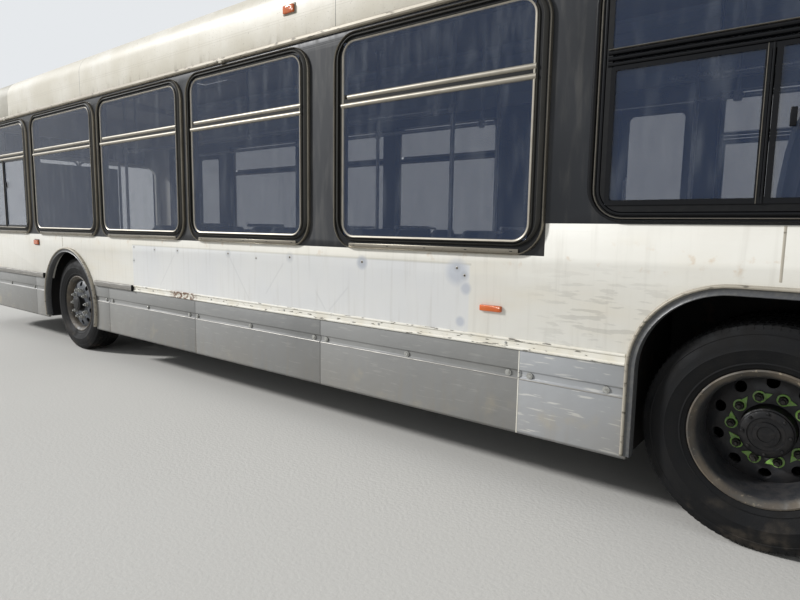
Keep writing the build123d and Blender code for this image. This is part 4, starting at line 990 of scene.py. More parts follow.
@functools.cache
def row_tree():
    """Repeats a form in a straight row."""
    tree, given = new_tree("row", Count="Int", Step="Vector")
    line = add_node(tree, "GeometryNodeMeshLine", {"Count": given["Count"], "Offset": given["Step"]})
    return scattered(tree, given, line, given["Geometry"])


@functools.cache
def ring_tree():
    """Repeats a form, modelled at the axle's origin, round an axle along Y."""
    tree, given = new_tree("ring", Count="Int", Centre="Vector")
    points = add_node(tree, "GeometryNodePoints", {"Count": given["Count"], "Position": given["Centre"]})
    index = add_node(tree, "GeometryNodeInputIndex").outputs[0]
    pitch = add_node(tree, "ShaderNodeMath", {0: tau, 1: given["Count"]}, operation="DIVIDE").outputs[0]
    turn = add_node(tree, "ShaderNodeMath", {0: index, 1: pitch}, operation="MULTIPLY").outputs[0]
    angles = add_node(tree, "ShaderNodeCombineXYZ", {"Y": turn}).outputs[0]
    rotation = add_node(tree, "FunctionNodeEulerToRotation", {0: angles}).outputs[0]
    return scattered(tree, given, points, given["Geometry"], Rotation=rotation)


@functools.cache
def fastener_tree():
    """Puts a hexagon head on a washer at each point of a form, facing along Y, each turned its own way."""
    tree, given = new_tree("fasteners", Head="Float", Washer="Float", Rise="Float")
    washer_rise = add_node(tree, "ShaderNodeMath", {0: given["Rise"], 1: 0.4}, operation="MULTIPLY").outputs[0]
    bolt = add_node(tree, "GeometryNodeJoinGeometry")
    for corners, radius, rise in ((6, given["Head"], given["Rise"]), (20, given["Washer"], washer_rise)):
        disc = {"Vertices": corners, "Radius": radius, "Depth": rise}
        form = add_node(tree, "GeometryNodeMeshCylinder", disc, fill_type="NGON")
        tree.links.new(form.outputs["Mesh"], bolt.inputs[0])
    turn = add_node(tree, "FunctionNodeRandomValue", {"Seed": 7, "Max": tau}, data_type="FLOAT")
    angles = add_node(tree, "ShaderNodeCombineXYZ", {"X": pi / 2, "Z": 0.0, "Y": turn.outputs[1]}).outputs[0]
    rotation = add_node(tree, "FunctionNodeEulerToRotation", {0: angles}).outputs[0]
    points = add_node(tree, "GeometryNodeMeshToPoints", {"Mesh": given["Geometry"]})
    return scattered(tree, given, points, bolt.outputs[0], Rotation=rotation)


@functools.cache
def rivet_tree():
    """Puts a low dome at each point of a form."""
    tree, given = new_tree("rivets", Radius="Float")
    dome = add_node(tree, "GeometryNodeMeshUVSphere", {"Segments": 8, "Rings": 4, "Radius": given["Radius"]})
    flat = add_node(tree, "GeometryNodeTransform", {"Geometry": dome.outputs["Mesh"], "Scale": (1, 1, 0.45)})
    points = add_node(tree, "GeometryNodeMeshToPoints", {"Mesh": given["Geometry"]})
    return scattered(tree, given, points, flat.outputs[0])


def bolts_at(piece, points, finish, head, washer, rise):
    """Adds fasteners to a piece at points on its sides."""
    form = Piece("points")
    for point in points:
        form.mesh.verts.new(point)
    piece.repeat(fastener_tree(), form, finish, Head=head, Washer=washer, Rise=rise)


# Operators


def heading(yaw, pitch):
    """The way that a yaw from -Y towards +X and a pitch downwards lead."""
    return Vector((sin(yaw) * cos(pitch), -cos(yaw) * cos(pitch), -sin(pitch)))


# The key light's yaw, pitch and spread; and the photograph's camera: place, yaw, pitch and roll, lens and sensor
KEY_HEADING = (radians(-55), radians(28))
KEY_SPREAD = radians(7)
CAMERA_PLACE = (-3.131, 3.956, 1.324)
CAMERA_ANGLES = (radians(37.93), radians(6.99), radians(0.89))
CAMERA_LENS, CAMERA_SENSOR = 26.34, 36.0


class BUS_OT_stage(bpy.types.Operator):
    """Lays the floor, lights the bus softly and sets the camera at the photograph's place"""

    bl_idname = "bus.stage"
    bl_label = "Stage"

    def execute(self, context):
        settings = context.scene.bus_stage
        floor = Piece("stage_floor")
        floor.block((-60, -60, -0.05), (60, 60, -0.001), pale_floor)
        floor.shown()

        world = bpy.data.worlds.new("studio")
        context.scene.world = world
        world.use_nodes = True
        tree = world.node_tree
        rays = add_node(tree, "ShaderNodeLightPath").outputs
        seen = either(tree, rays["Is Camera Ray"], rays["Is Glossy Ray"], rays["Is Transmission Ray"])
        strength = remap(tree, seen, 0, 1, settings.daylight, 1.0)
        connect(tree, tree.nodes["Background"], {"Color": settings.backdrop, "Strength": strength})

        sun = bpy.data.lights.new("key", "SUN")
        sun.energy = settings.key
        sun.angle = KEY_SPREAD
        key = bpy.data.objects.new("key", sun)
        key.rotation_euler = (-heading(*KEY_HEADING)).to_track_quat("Z", "Y").to_euler()
        context.collection.objects.link(key)

        lens = bpy.data.cameras.new("camera")
        lens.sensor_width = CAMERA_SENSOR
        lens.lens = CAMERA_LENS
        camera = bpy.data.objects.new("camera", lens)
        yaw, pitch, roll = CAMERA_ANGLES
        forward = heading(yaw, pitch)
        level = forward.cross(Vector((0, 0, 1))).normalized()
        upright = level.cross(forward)
        right = level * cos(roll) + upright * sin(roll)
        up = upright * cos(roll) - level * sin(roll)
        turn = Matrix((right, up, -forward)).transposed().to_4x4()
        camera.matrix_world = Matrix.Translation(CAMERA_PLACE) @ turn
        context.collection.objects.link(camera)
        context.scene.camera = camera
        context.scene.view_settings.view_transform = "Standard"
        return {"FINISHED"}


# Pieces whose shape is the frame's own: node, finish, record slot, edge radius
BODYWORK = [
    ("belt_panels", aged_white_enamel, "white_paint", 0.002),
    ("window_bands", aged_black_band, "black_paint", 0.002),
    ("cove_panels", yellowed_cove_enamel, "cove_paint", 0.003),
    ("roof", weathered_roof_enamel, "roof_paint", 0.003),
    ("front_roof_cap", weathered_roof_enamel, "roof_paint", 0.006),
    ("rear_roof_cap", weathered_roof_enamel, "roof_paint", 0.006),
    ("front_mask", aged_white_enamel, "white_paint", 0.004),
    ("rear_mask", aged_white_enamel, "white_paint", 0.006),
    ("skirt_panels", grey_skirt_enamel, "grey_paint", 0.0015),
]


# The rear cap's brow: its foot's height and its rise for each metre forward, and the roof's drop for y squared
BROW_FOOT_Z = 2.8125
BROW_SLOPE = 1.234
ROOF_CROWN = 0.033


class BUS_OT_bodywork(bpy.types.Operator):
    """Finishes the panels of the body with rounded edges and their paint"""

    bl_idname = "bus.bodywork"
    bl_label = "Body panels"

    def execute(self, context):
        for node, finish, record_slot, bevel in BODYWORK:
            piece = dressed(node, finish, bevel)
            if node == "rear_roof_cap":
                self.brow_sheet(piece, finish)
            piece.done(record_slot, node)
        return {"FINISHED"}

    def brow_sheet(self, piece, finish):
        """The folded sheet that closes the rear cap's sloping brow from inside, under the crowned roof."""
        low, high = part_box("rear_roof_cap")
        inward = Vector((BROW_SLOPE, 0, -1)).normalized()
        loops = []
        for i in range(21):
            y = -1 + 0.1 * i
            foot, top = (
                Vector((low.x + (z - BROW_FOOT_Z) / BROW_SLOPE, y, z)) + inward * 0.0006
                for z in (BROW_FOOT_Z + 0.055, high.z - ROOF_CROWN * y * y - 0.035)
            )
            loops.append([foot, top, top + inward * 0.012, foot + inward * 0.012])
        piece.loft(loops, finish)


# Joints of the belt panels above the wheel arches: place along X, foot and head
BELT_SEAMS = [(3.417, 1.08, BELT_TOP - 0.004), (-2.905, 1.14, 1.356)]


class BUS_OT_panel_marks(bpy.types.Operator):
    """Sets the drilled rivet holes and the belt's seam strips on the side panels"""

    bl_idname = "bus.panel_marks"
    bl_label = "Rivet holes and seams"

    def execute(self, context):
        piece = Piece("belt_rivets_and_seams")
        for x, z, smudge in RIVET_HOLES:
            hole = 0.0035 + 0.03 * smudge
            rim = [(hole, -0.002), (hole * 1.7, -0.002), (hole * 1.7, 0.0005), (hole * 1.2, 0.0015), (hole, 0.0008)]
            # The holes' rims take the lighter bead finish, which paints a highlight on them
            piece.lathe(rim, (x, SIDE_Y, z), painted_highlight_bead, 16, closed=True)
            piece.lathe([(hole, -0.002), (hole, 0.0004)], (x, SIDE_Y, z), glazing_rubber, 16)
        for x, foot, head in BELT_SEAMS:
            for side in (1, -1):
                strip = ((x - 0.006, foot), (x + 0.006, head))
                bar_between(piece, *strip, SIDE_Y - 0.001, 0.002, side, oxidised_gutter_aluminium, upright=True)
        piece.done("white_paint")
        return {"FINISHED"}


# A window frame's rings from its outer edge: insets of a ring's two edges at the sides, the same at the foot,
# its section as pairs of the share across and the rise from the side, and its finish
ROUND = half_round(0, 1, 0, 1)
FLAT = [(0, 0), (0, 1), (1, 1), (1, 0)]
SLOPED = [(0, 0), (0, 0.45), (0.12, 0.95), (0.3, 1), (1, 0.74), (1, 0)]
RAMP = [(0, 0), (0, 0.45), (0.6, 0.93), (0.85, 1), (1, 0.9), (1, 0)]
# The darker bead finish on the ramp and the round bead is painted shade, and the lighter bead finish next to the
# glass is a painted highlight
WINDOW_RINGS = [
    ((0.0, 0.012), (0.0, 0.008), 0.022, ROUND, anodised_window_bead),
    ((0.012, 0.022), (0.007, 0.046), 0.008, FLAT, glazing_rubber),
    ((0.021, 0.042), (0.045, 0.054), 0.022, RAMP, painted_shade_window_bead),
    ((0.041, 0.062), (0.053, 0.059), 0.009, FLAT, glazing_rubber),
    ((0.06, 0.074), (0.058, 0.066), 0.016, ROUND, painted_shade_window_bead),
    ((0.073, 0.088), (0.065, 0.078), 0.019, SLOPED, painted_highlight_bead),
]
# The same for a raised window, which is black but for one bright line, a painted highlight
RAISED_RINGS = [
    ((0.0, 0.028), (0.0, 0.014), 0.022, ROUND, black_window_frame),
    ((0.027, 0.043), (0.013, 0.024), 0.012, FLAT, glazing_rubber),
    ((0.03, 0.038), (0.014, 0.02), 0.019, ROUND, painted_highlight_bead),
    ((0.042, 0.064), (0.023, 0.046), 0.018, ROUND, black_window_frame),
    ((0.063, 0.088), (0.045, 0.078), 0.015, FLAT, glazing_rubber),
]
WINDOW_CORNER = 0.165
FRAME_WIDTH = 0.086
FRAME_FOOT = 0.076
FRAME_HEAD = 0.06
# The two half-round bars of a transom: low and high edge, gap at the front end; and a raised window's three strips
TRANSOM_BARS = [((2.078, 2.109), 0.05), ((2.032, 2.063), 0.0)]
BLACK_STRIPS = [(2.031, 2.053), (2.055, 2.078), (2.08, 2.103)]
TRANSOM_INSET = 0.07
SILL_INSET = 0.13
DRAIN_SLOTS = 5
MEETING_POST = 0.056


def window_ring(piece, box, side, ring):
    """One closed bead or rubber round a window."""
    (near, far), (foot_near, foot_far), rise, section, finish = ring
    loops = []
    for share, out in section:
        inset = near + (far - near) * share
        foot = foot_near + (foot_far - foot_near) * share
        head = inset * FRAME_HEAD / FRAME_WIDTH
        span = (box.low.x + inset, box.high.x - inset, box.low.z + foot, box.high.z - head)
        path = rounded(*span, WINDOW_CORNER - inset, 8)
        loops.append([(x, side * (SIDE_Y - 0.001 + rise * out), z) for x, z in path])
    piece.loft(loops, finish, closed=True)


def bar_between(piece, low, high, base, proud, side, finish, upright=False):
    """A half-round bar on a side, along X or upright: low and high are its corners along X and Z."""
    if upright:
        outline = [(x, side * out, low[1]) for x, out in half_round(low[0], high[0], base, proud)]
        piece.prism(outline, (0, 0, high[1] - low[1]), finish)
    else:
        outline = [(low[0], side * out, z) for z, out in half_round(low[1], high[1], base, proud)]
        piece.prism(outline, (high[0] - low[0], 0, 0), finish)


class BUS_OT_window_frames(bpy.types.Operator):
    """Builds each side window's beads, rubbers, drain sill, transom and sliding frames"""

    bl_idname = "bus.window_frames"
    bl_label = "Window frames"

    def execute(self, context):
        for side, name in ((1, "side_window_frames_left"), (-1, "side_window_frames_right")):
            piece = Piece(name)
            for box in side_windows(side):
                raised = box.low.z > 1.3
                panes = [pane for pane in islands("window_glass") if pane.side == side]
                panes = [pane for pane in panes if box.low.x < pane.low.x and pane.high.x < box.high.x]
                for ring in RAISED_RINGS if raised else WINDOW_RINGS:
                    window_ring(piece, box, side, ring)
                if raised:
                    self.black_transom(piece, box, side)
                else:
                    self.bright_transom(piece, box, side)
                    self.drain_sill(piece, box, side)
                if len(panes) > 2:
                    self.sliders(piece, box, side)
            piece.done("aluminium_trim", *(["window_frames"] if side == 1 else []))
        return {"FINISHED"}

    def bright_transom(self, piece, box, side):
        """Two half-round bars in the lighter bead finish, a painted highlight, with a rubber between them."""
        rear, front = box.low.x + TRANSOM_INSET, box.high.x - TRANSOM_INSET
        for (low, high), gap in TRANSOM_BARS:
            ends = ((rear, low), (front - gap, high))
            bar_between(piece, *ends, SIDE_Y + 0.008, 0.015, side, painted_highlight_bead)
        piece.slab(side, (rear, front), (SIDE_Y, SIDE_Y + 0.014), (2.05, 2.085), glazing_rubber)

    def black_transom(self, piece, box, side):
        """A raised window's wide black transom of three strips, with a thin bright line along its head that is a
        painted highlight.
        """
        rear, front = box.low.x + TRANSOM_INSET, box.high.x - TRANSOM_INSET
        for low, high in BLACK_STRIPS:
            bar_between(piece, (rear, low), (front, high), SIDE_Y + 0.006, 0.015, side, black_window_frame)
        bar_between(piece, (rear, 2.104), (front, 2.109), SIDE_Y + 0.008, 0.012, side, painted_highlight_bead)

    def drain_sill(self, piece, box, side):
        """The sill along a frame's foot, with drain slots pressed into it."""
        foot, rear, front = box.low.z, box.low.x + SILL_INSET, box.high.x - SILL_INSET
        outs, zs = (SIDE_Y, SIDE_Y + 0.013), (foot + 0.007, foot + 0.032)
        piece.slab(side, (rear, front), outs, zs, anodised_window_bead, 0.002)
        slot = Piece("slot")
        y = side * (SIDE_Y + 0.0125)
        slot.block((-0.008, y - 0.0015, -0.002), (0.008, y + 0.0015, 0.002), glazing_rubber, 0.0008)
        bmesh.ops.translate(slot.mesh, verts=slot.mesh.verts, vec=(rear + 0.04, 0, foot + 0.02))
        step = (front - rear - 0.08) / (DRAIN_SLOTS - 1)
        piece.repeat(row_tree(), slot, glazing_rubber, Count=DRAIN_SLOTS, Step=(step, 0, 0))

    def sliders(self, piece, box, side):
        """The frames of the two sliding panes and their meeting post."""
        middle = box.middle.x
        foot, head = box.low.z + FRAME_FOOT - 0.002, TRANSOM_BARS[1][0][0]
        base = SIDE_Y + 0.005
        post = (middle - MEETING_POST / 2, middle + MEETING_POST / 2)
        for low_x, high_x in ((box.low.x + FRAME_WIDTH, post[1]), (post[0], box.high.x - FRAME_WIDTH)):
            outer = rounded(low_x, high_x, foot, head, 0.012, 3)
            inner = rounded(low_x + 0.02, high_x - 0.02, foot + 0.022, head - 0.018, 0.006, 3)
            tops = [(outer, base), (outer, base + 0.013), (inner, base + 0.013), (inner, base)]
            loops = [[(x, side * out, z) for x, z in path] for path, out in tops]
            piece.loft(loops, black_window_frame, closed=True)
            base += 0.001
        edge = ((post[0] + 0.022, foot), (post[0] + 0.036, head))
        bar_between(piece, *edge, base, 0.018, side, black_window_frame, True)
        # A thin bright line down the meeting post, a painted highlight
        line = ((middle + 0.018, foot), (middle + 0.022, head))
        bar_between(piece, *line, base + 0.006, 0.009, side, painted_highlight_bead, True)
        catch_x, out = middle - 0.09, SIDE_Y + 0.018
        piece.slab(side, (catch_x, catch_x + 0.022), (out, out + 0.012), (1.72, 1.79), black_window_frame, 0.003)


class BUS_OT_glazing(bpy.types.Operator):
    """Gives the frame's own panes their tinted and clear glass"""

    bl_idname = "bus.glazing"
    bl_label = "Glazing"

    def execute(self, context):
        for node, finish in (("window_glass", tinted_side_glass), ("windshield", clear_windshield_glass)):
            for material_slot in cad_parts[node].material_slots:
                material_slot.material = finish()
        return {"FINISHED"}


# Sections of the rub rails, pairs of the height above their foot and the place outwards from the side
DEEP_RAIL = [
    (0, -0.001), (0, 0.012), (0.004, 0.018), (0.01, 0.021), (0.016, 0.021), (0.018, 0.017), (0.022, 0.017),
    (0.024, 0.022), (0.031, 0.022), (0.033, 0.017), (0.037, 0.017), (0.039, 0.021), (0.045, 0.02), (0.051, 0.014),
    (0.053, 0.006), (0.053, -0.001),
]
SHALLOW_RAIL = [
    (0, -0.001), (0, 0.006), (0.003, 0.0085), (0.009, 0.0085), (0.012, 0.006), (0.013, 0.0025), (0.04, 0.0025),
    (0.041, 0.006), (0.044, 0.0085), (0.05, 0.0085), (0.053, 0.006), (0.053, -0.001),
]
# The gutter's section: the place outwards from the cove's face, and the height above its foot
GUTTER = [
    (-0.002, 0), (0.03, 0), (0.041, 0.004), (0.047, 0.012), (0.047, 0.026), (0.043, 0.031), (0.037, 0.028),
    (0.035, 0.017), (0.007, 0.015), (0.003, 0.02), (0.003, 0.044), (-0.002, 0.048),
]
# Places along X of the clips round the gutters, and of the screws in the rub rail of the repainted length
GUTTER_CLIPS = (4.734, 0.6, -3.2)
RAIL_SCREWS = (-1.75, -0.9, -0.05, 0.8, 1.65)
# Arch trims: inset from the outer edge and rise of the bright bead, and of the moulding inside it
ARCH_BEAD = [
    (0, -0.001), (0, 0.018), (0.003, 0.024), (0.008, 0.028), (0.013, 0.026), (0.016, 0.02), (0.016, -0.001),
]
ARCH_MOULDING = [
    (0.015, -0.001), (0.017, 0.019), (0.026, 0.016), (0.036, 0.017), (0.043, 0.021), (0.046, 0.016), (0.046, -0.03),
]


def arch_path(box, inset):
    """A wheel arch's edge from its front foot to its rear one, along X and Z, drawn in by an inset."""
    middle, half = box.middle.x, (box.high.x - box.low.x) / 2
    if box.high.z < AXLE_Z + half + 0.01:
        drop = asin((AXLE_Z - box.low.z) / half)
        turns = [-drop + (pi + 2 * drop) * i / 48 for i in range(49)]
        return [(middle + (half - inset) * cos(a), AXLE_Z + (half - inset) * sin(a)) for a in turns]
    corner = 0.405
    path = [(middle + half - inset, box.low.z)]
    for centre_x, start in ((middle + half - corner, 0), (middle - half + corner, 1)):
        for i in range(17):
            turn = (start + i / 16) * pi / 2
            reach = corner - inset
            path.append((centre_x + reach * cos(turn), box.high.z - corner + reach * sin(turn)))
    path.append((middle - half + inset, box.low.z))
    return path


class BUS_OT_side_rails(bpy.types.Operator):
    """Builds the gutters, the rub rails and the wheel-arch trims"""

    bl_idname = "bus.side_rails"
    bl_label = "Gutters, rub rails and arch trims"

    def execute(self, context):
        gutters = Piece("roof_gutters")
        for box in islands("drip_rails"):
            outline = [(box.low.x, box.side * (COVE_Y + out), box.low.z + up) for out, up in GUTTER]
            gutters.prism(outline, (box.high.x - box.low.x, 0, 0), oxidised_gutter_aluminium)
            for x in GUTTER_CLIPS:
                outs, zs = (COVE_Y + 0.001, COVE_Y + 0.046), (box.low.z - 0.004, box.low.z + 0.034)
                gutters.slab(box.side, (x - 0.02, x + 0.02), outs, zs, oxidised_gutter_aluminium, 0.003)
        gutters.done("aluminium_trim", "drip_rails")

        rails = Piece("side_rub_rails")
        for box in islands("rub_rails"):
            deep = max(abs(box.low.y), box.high.y) > SIDE_Y + 0.015
            bare = box.side > 0 and box.low.x > REPAINT_X[1]
            section = DEEP_RAIL if deep else SHALLOW_RAIL
            outline = [(box.low.x, box.side * (SIDE_Y + out), box.low.z + up) for up, out in section]
            finish = worn_rail_aluminium if bare else chipped_rail_enamel
            rails.prism(outline, (box.high.x - box.low.x, 0, 0), finish)
            if bare:
                xs, zs = (box.low.x - 0.01, box.low.x + 0.004), (box.low.z - 0.001, box.high.z + 0.001)
                rails.slab(box.side, xs, (SIDE_Y, SIDE_Y + 0.024), zs, glazing_rubber, 0.003)
        screws = [(x, SIDE_Y + 0.0035, BELT_BOTTOM + 0.03) for x in RAIL_SCREWS]
        bolts_at(rails, screws, zinc_fastener_steel, 0.005, 0.007, 0.004)
        rails.done("white_paint", "rub_rails")

        trims = Piece("wheel_arch_trims")
        for box in islands("arch_trims"):
            for section, finish in ((ARCH_BEAD, oxidised_gutter_aluminium), (ARCH_MOULDING, worn_arch_moulding)):
                places = [(arch_path(box, inset), box.side * (SIDE_Y + out)) for inset, out in section]
                paths = [[(x, y, z) for x, z in path] for path, y in places]
                trims.loft([list(loop) for loop in zip(*paths)], finish)
        trims.done("rubber_trim", "arch_trims")
        return {"FINISHED"}


# Bolts through the left skirts' channel, along X; the last of each pair holds the next panel
SKIRT_BOLTS = [
    1.121, 1.008, 0.333, -0.334, -0.447, -1.108, -1.765, -1.884, -2.267, 1.766, 2.4, 2.52,
    4.22, 4.9, 5.5, -3.47, -4.0, -4.54, -4.66, -5.2, -5.7,
]
BOLT_Z = 0.598
SKIRT_FACE = 1.293
# Each wheel arch's place along X and half the gap that it leaves in the skirts' bead
SKIRT_GAPS = [(FRONT_AXLE_X, 0.57), (REAR_AXLE_X, 0.545)]


class BUS_OT_skirt_bolts(bpy.types.Operator):
    """Fits the skirts' bolts, their bright bead, a painted highlight along the channel's lower lip, and the pale
    seam beside the rear wheel
    """

    bl_idname = "bus.skirt_bolts"
    bl_label = "Skirt bolts and beads"

    def execute(self, context):
        piece = Piece("skirt_bolts_and_beads")
        left = [(x, SKIRT_FACE - 0.004, BOLT_Z) for x in SKIRT_BOLTS]
        right = [(x, -y, z) for x, y, z in left if not -2.02 < x < -0.83 and x < 4.3]
        bolts_at(piece, left + right, zinc_fastener_steel, sizes().bolt_head, sizes().washer, 0.011)
        for box in islands("skirt_panels"):
            ends = (box.low.x + 0.004, box.high.x - 0.004)
            for arch_x, half in SKIRT_GAPS:
                if abs(ends[1] - arch_x) < half + 0.1 and ends[1] < arch_x:
                    ends = (ends[0], arch_x - half)
                if abs(ends[0] - arch_x) < half + 0.1 and ends[0] > arch_x:
                    ends = (arch_x + half, ends[1])
            # A bright strip along each channel's lower lip: a painted highlight
            bead = ((ends[0], 0.571), (ends[1], 0.578))
            bar_between(piece, *bead, SKIRT_FACE - 0.001, 0.004, box.side, worn_rail_aluminium)
        seam = [(x, out, 0.292) for x, out in half_round(-1.829, -1.821, SKIRT_FACE - 0.002, 0.004, 4)]
        piece.prism(seam, (0, 0, BELT_BOTTOM - 0.294), chipped_rail_enamel)
        piece.done("grey_paint")
        return {"FINISHED"}


# A tyre's section: radius, and place along the axle towards the shoulder it is mirrored to
TYRE_SECTION = [
    (0.288, 0.104), (0.292, 0.117), (0.3, 0.124), (0.312, 0.127), (0.316, 0.131), (0.322, 0.13), (0.345, 0.14),
    (0.372, 0.1455), (0.376, 0.1475), (0.38, 0.146), (0.398, 0.146), (0.42, 0.141), (0.436, 0.134), (0.44, 0.135),
    (0.446, 0.131), (0.462, 0.124), (0.472, 0.121),
]
# Half the tread from the shoulder to the middle: place along the axle where each rib ends and its groove begins
RIBS = [(0.121, 0.087), (0.079, 0.049), (0.041, 0.007)]
# A block of the tread's shoulder and a sipe across a rib: radius or rise, and place along the axle
BLOCK_SECTION = [(0.448, 0.128), (0.4665, 0.125), (0.4745, 0.1195), (0.4785, 0.106), (0.47, 0.1)]
SIPE_SECTION = [(-0.008, -0.013), (0.0015, -0.013), (0.0015, 0.013), (-0.008, 0.013)]
PITCHES = 96


def tyre_profile(groove):
    """The closed section of a tyre with its ribs and grooves, from one bead over the tread to the other."""
    half = list(TYRE_SECTION)
    for start, end in RIBS:
        crown = TYRE_R - 0.012 * (start / 0.13) ** 2
        half += [(crown - (0.006 if start > 0.1 else 0.001), start), (crown - 0.001, start - 0.003)]
        half += [(crown, end + 0.002), (crown - 0.002, end), (crown - groove, end - 0.0015)]
    mirrored = [(radius, -place) for radius, place in reversed(half)]
    return half + mirrored


def tyre(piece, y):
    """One tyre about its middle plane at y, with the blocks of its shoulders and the sipes of its ribs."""
    piece.lathe(tyre_profile(sizes().tread_groove), (0, y, 0), tyre_rubber, 96, closed=True)
    turns = [tau / PITCHES * share for share in (0.16, 0.8)]
    for face in (1, -1):
        block = Piece("block")
        loops = [[(r * cos(a), y + face * out, r * sin(a)) for r, out in BLOCK_SECTION] for a in turns]
        block.loft(loops, tyre_rubber)
        ring(piece, block, tyre_rubber, PITCHES)
    for place in (0.064, 0.024, -0.024, -0.064):
        sipe = Piece("sipe")
        outline = [(TYRE_R - 0.001 + rise, y + place + across, 0) for rise, across in SIPE_SECTION]
        sipe.prism(outline, (0, 0, 0.007), tyre_rubber)
        ring(piece, sipe, tyre_rubber, PITCHES)


def ring(piece, form, finish, count):
    """Repeats a form round the axle."""
    piece.repeat(ring_tree(), form, finish, Count=count, Centre=(0, 0, 0))


def move(piece, place, turn):
    """Carries a piece made about the origin to its place, turned by a rotation."""
    bmesh.ops.rotate(piece.mesh, verts=piece.mesh.verts, matrix=turn)
    bmesh.ops.translate(piece.mesh, verts=piece.mesh.verts, vec=place)


def to_axle(piece, x, side):
    """Carries a wheel made about the origin to its axle, turned half round for the right side."""
    move(piece, (x, side * WHEEL_Y, AXLE_Z), Matrix.Rotation(pi if side < 0 else 0, 3, "Z"))


class BUS_OT_tyres(bpy.types.Operator):
    """Builds the six tyres with their ribs, blocks and moulded sidewalls"""

    bl_idname = "bus.tyres"
    bl_label = "Tyres"

    def execute(self, context):
        for side, word in ((1, "left"), (-1, "right")):
            front = Piece("front_tyre_rubber_" + word)
            tyre(front, 0)
            to_axle(front, FRONT_AXLE_X, side)
            front.done("tyre_rubber", "front_tyre_" + word, body="front_wheel_" + word)
            rear = Piece("rear_tyre_rubber_" + word)
            tyre(rear, 0)
            tyre(rear, TWIN_Y - WHEEL_Y)
            to_axle(rear, REAR_AXLE_X, side)
            rear.done("tyre_rubber", "rear_tyres_" + word, body="rear_wheels_" + word)
        return {"FINISHED"}


# Places along the axle, outwards from a wheel's middle plane
BARREL = [
    (0.291, 0.122), (0.2905, 0.112), (0.278, 0.109), (0.268, 0.1), (0.262, 0.08), (0.255, 0.02), (0.255, -0.1),
    (0.268, -0.11), (0.291, -0.122), (0.284, -0.124), (0.262, -0.114), (0.248, -0.1), (0.248, 0.02), (0.252, 0.085),
    (0.262, 0.106), (0.274, 0.116), (0.284, 0.1245),
]
# The hubs' profiles: radius, and place along the axle
FRONT_HUB = [
    (0.086, -0.14), (0.086, 0.098), (0.083, 0.104), (0.078, 0.106), (0.076, 0.14), (0.07, 0.147), (0.06, 0.149),
    (0.056, 0.153), (0.045, 0.155), (0.012, 0.157),
]
REAR_HUB = [
    (0.11, -0.4), (0.11, -0.06), (0.106, -0.052), (0.104, 0.01), (0.106, 0.012), (0.106, 0.018), (0.1, 0.022),
    (0.098, 0.03), (0.09, 0.034), (0.072, 0.036), (0.07, 0.032), (0.052, 0.032), (0.05, 0.038), (0.034, 0.039),
    (0.032, 0.035), (0.01, 0.036),
]
WHEEL_NUTS = 10
NUT_CIRCLE = 0.143
HAND_HOLES = 10
HAND_HOLE = 0.026
HAND_HOLE_CIRCLE = 0.205


def front_dish(radius):
    """The place along the axle of the front disc's outer face at a radius."""
    return 0.096 - 0.03 * max(0.0, (radius - 0.165) / 0.085) ** 2


def rear_dish(radius):
    """The same for the twin wheels' outer disc, which lies deep inside its barrel."""
    return -0.062 - 0.03 * max(0.0, (radius - 0.165) / 0.085) ** 2 if radius > 0.165 else -0.062


def wheel_nuts(piece, y, finish):
    """The nuts on their flange washers, with the studs' ends standing out of them."""
    nut = Piece("nut")
    radius = sizes().wheel_nut / cos(pi / 6)
    centre = (NUT_CIRCLE, y, 0)
    nut.lathe([(0.021, 0.0), (0.021, 0.005), (0.0185, 0.008)], centre, finish, 20)
    hexagon = [(radius * 0.97, 0.004), (radius, 0.007), (radius, 0.026), (radius * 0.86, 0.03)]
    nut.lathe(hexagon, centre, finish, 6)
    nut.lathe([(0.0105, 0.02), (0.0105, 0.042), (0.0085, 0.045)], centre, finish, 12)
    ring(piece, nut, finish, WHEEL_NUTS)


def nut_indicators(piece, y):
    """A ring round each nut with a pointer that reaches towards the next one."""
    form = Piece("indicator")
    centre = (NUT_CIRCLE, y, 0)
    section = [(0.0185, 0.0), (0.026, 0.0), (0.026, 0.007), (0.0185, 0.008)]
    form.lathe(section, centre, indicator_plastic, 24, closed=True)
    tip = [(NUT_CIRCLE + 0.012, 0.022), (NUT_CIRCLE + 0.004, 0.052), (NUT_CIRCLE - 0.016, 0.022)]
    form.prism([(x, y, z) for x, z in tip], (0, 0.006, 0), indicator_plastic, 0.001)
    ring(piece, form, indicator_plastic, WHEEL_NUTS)


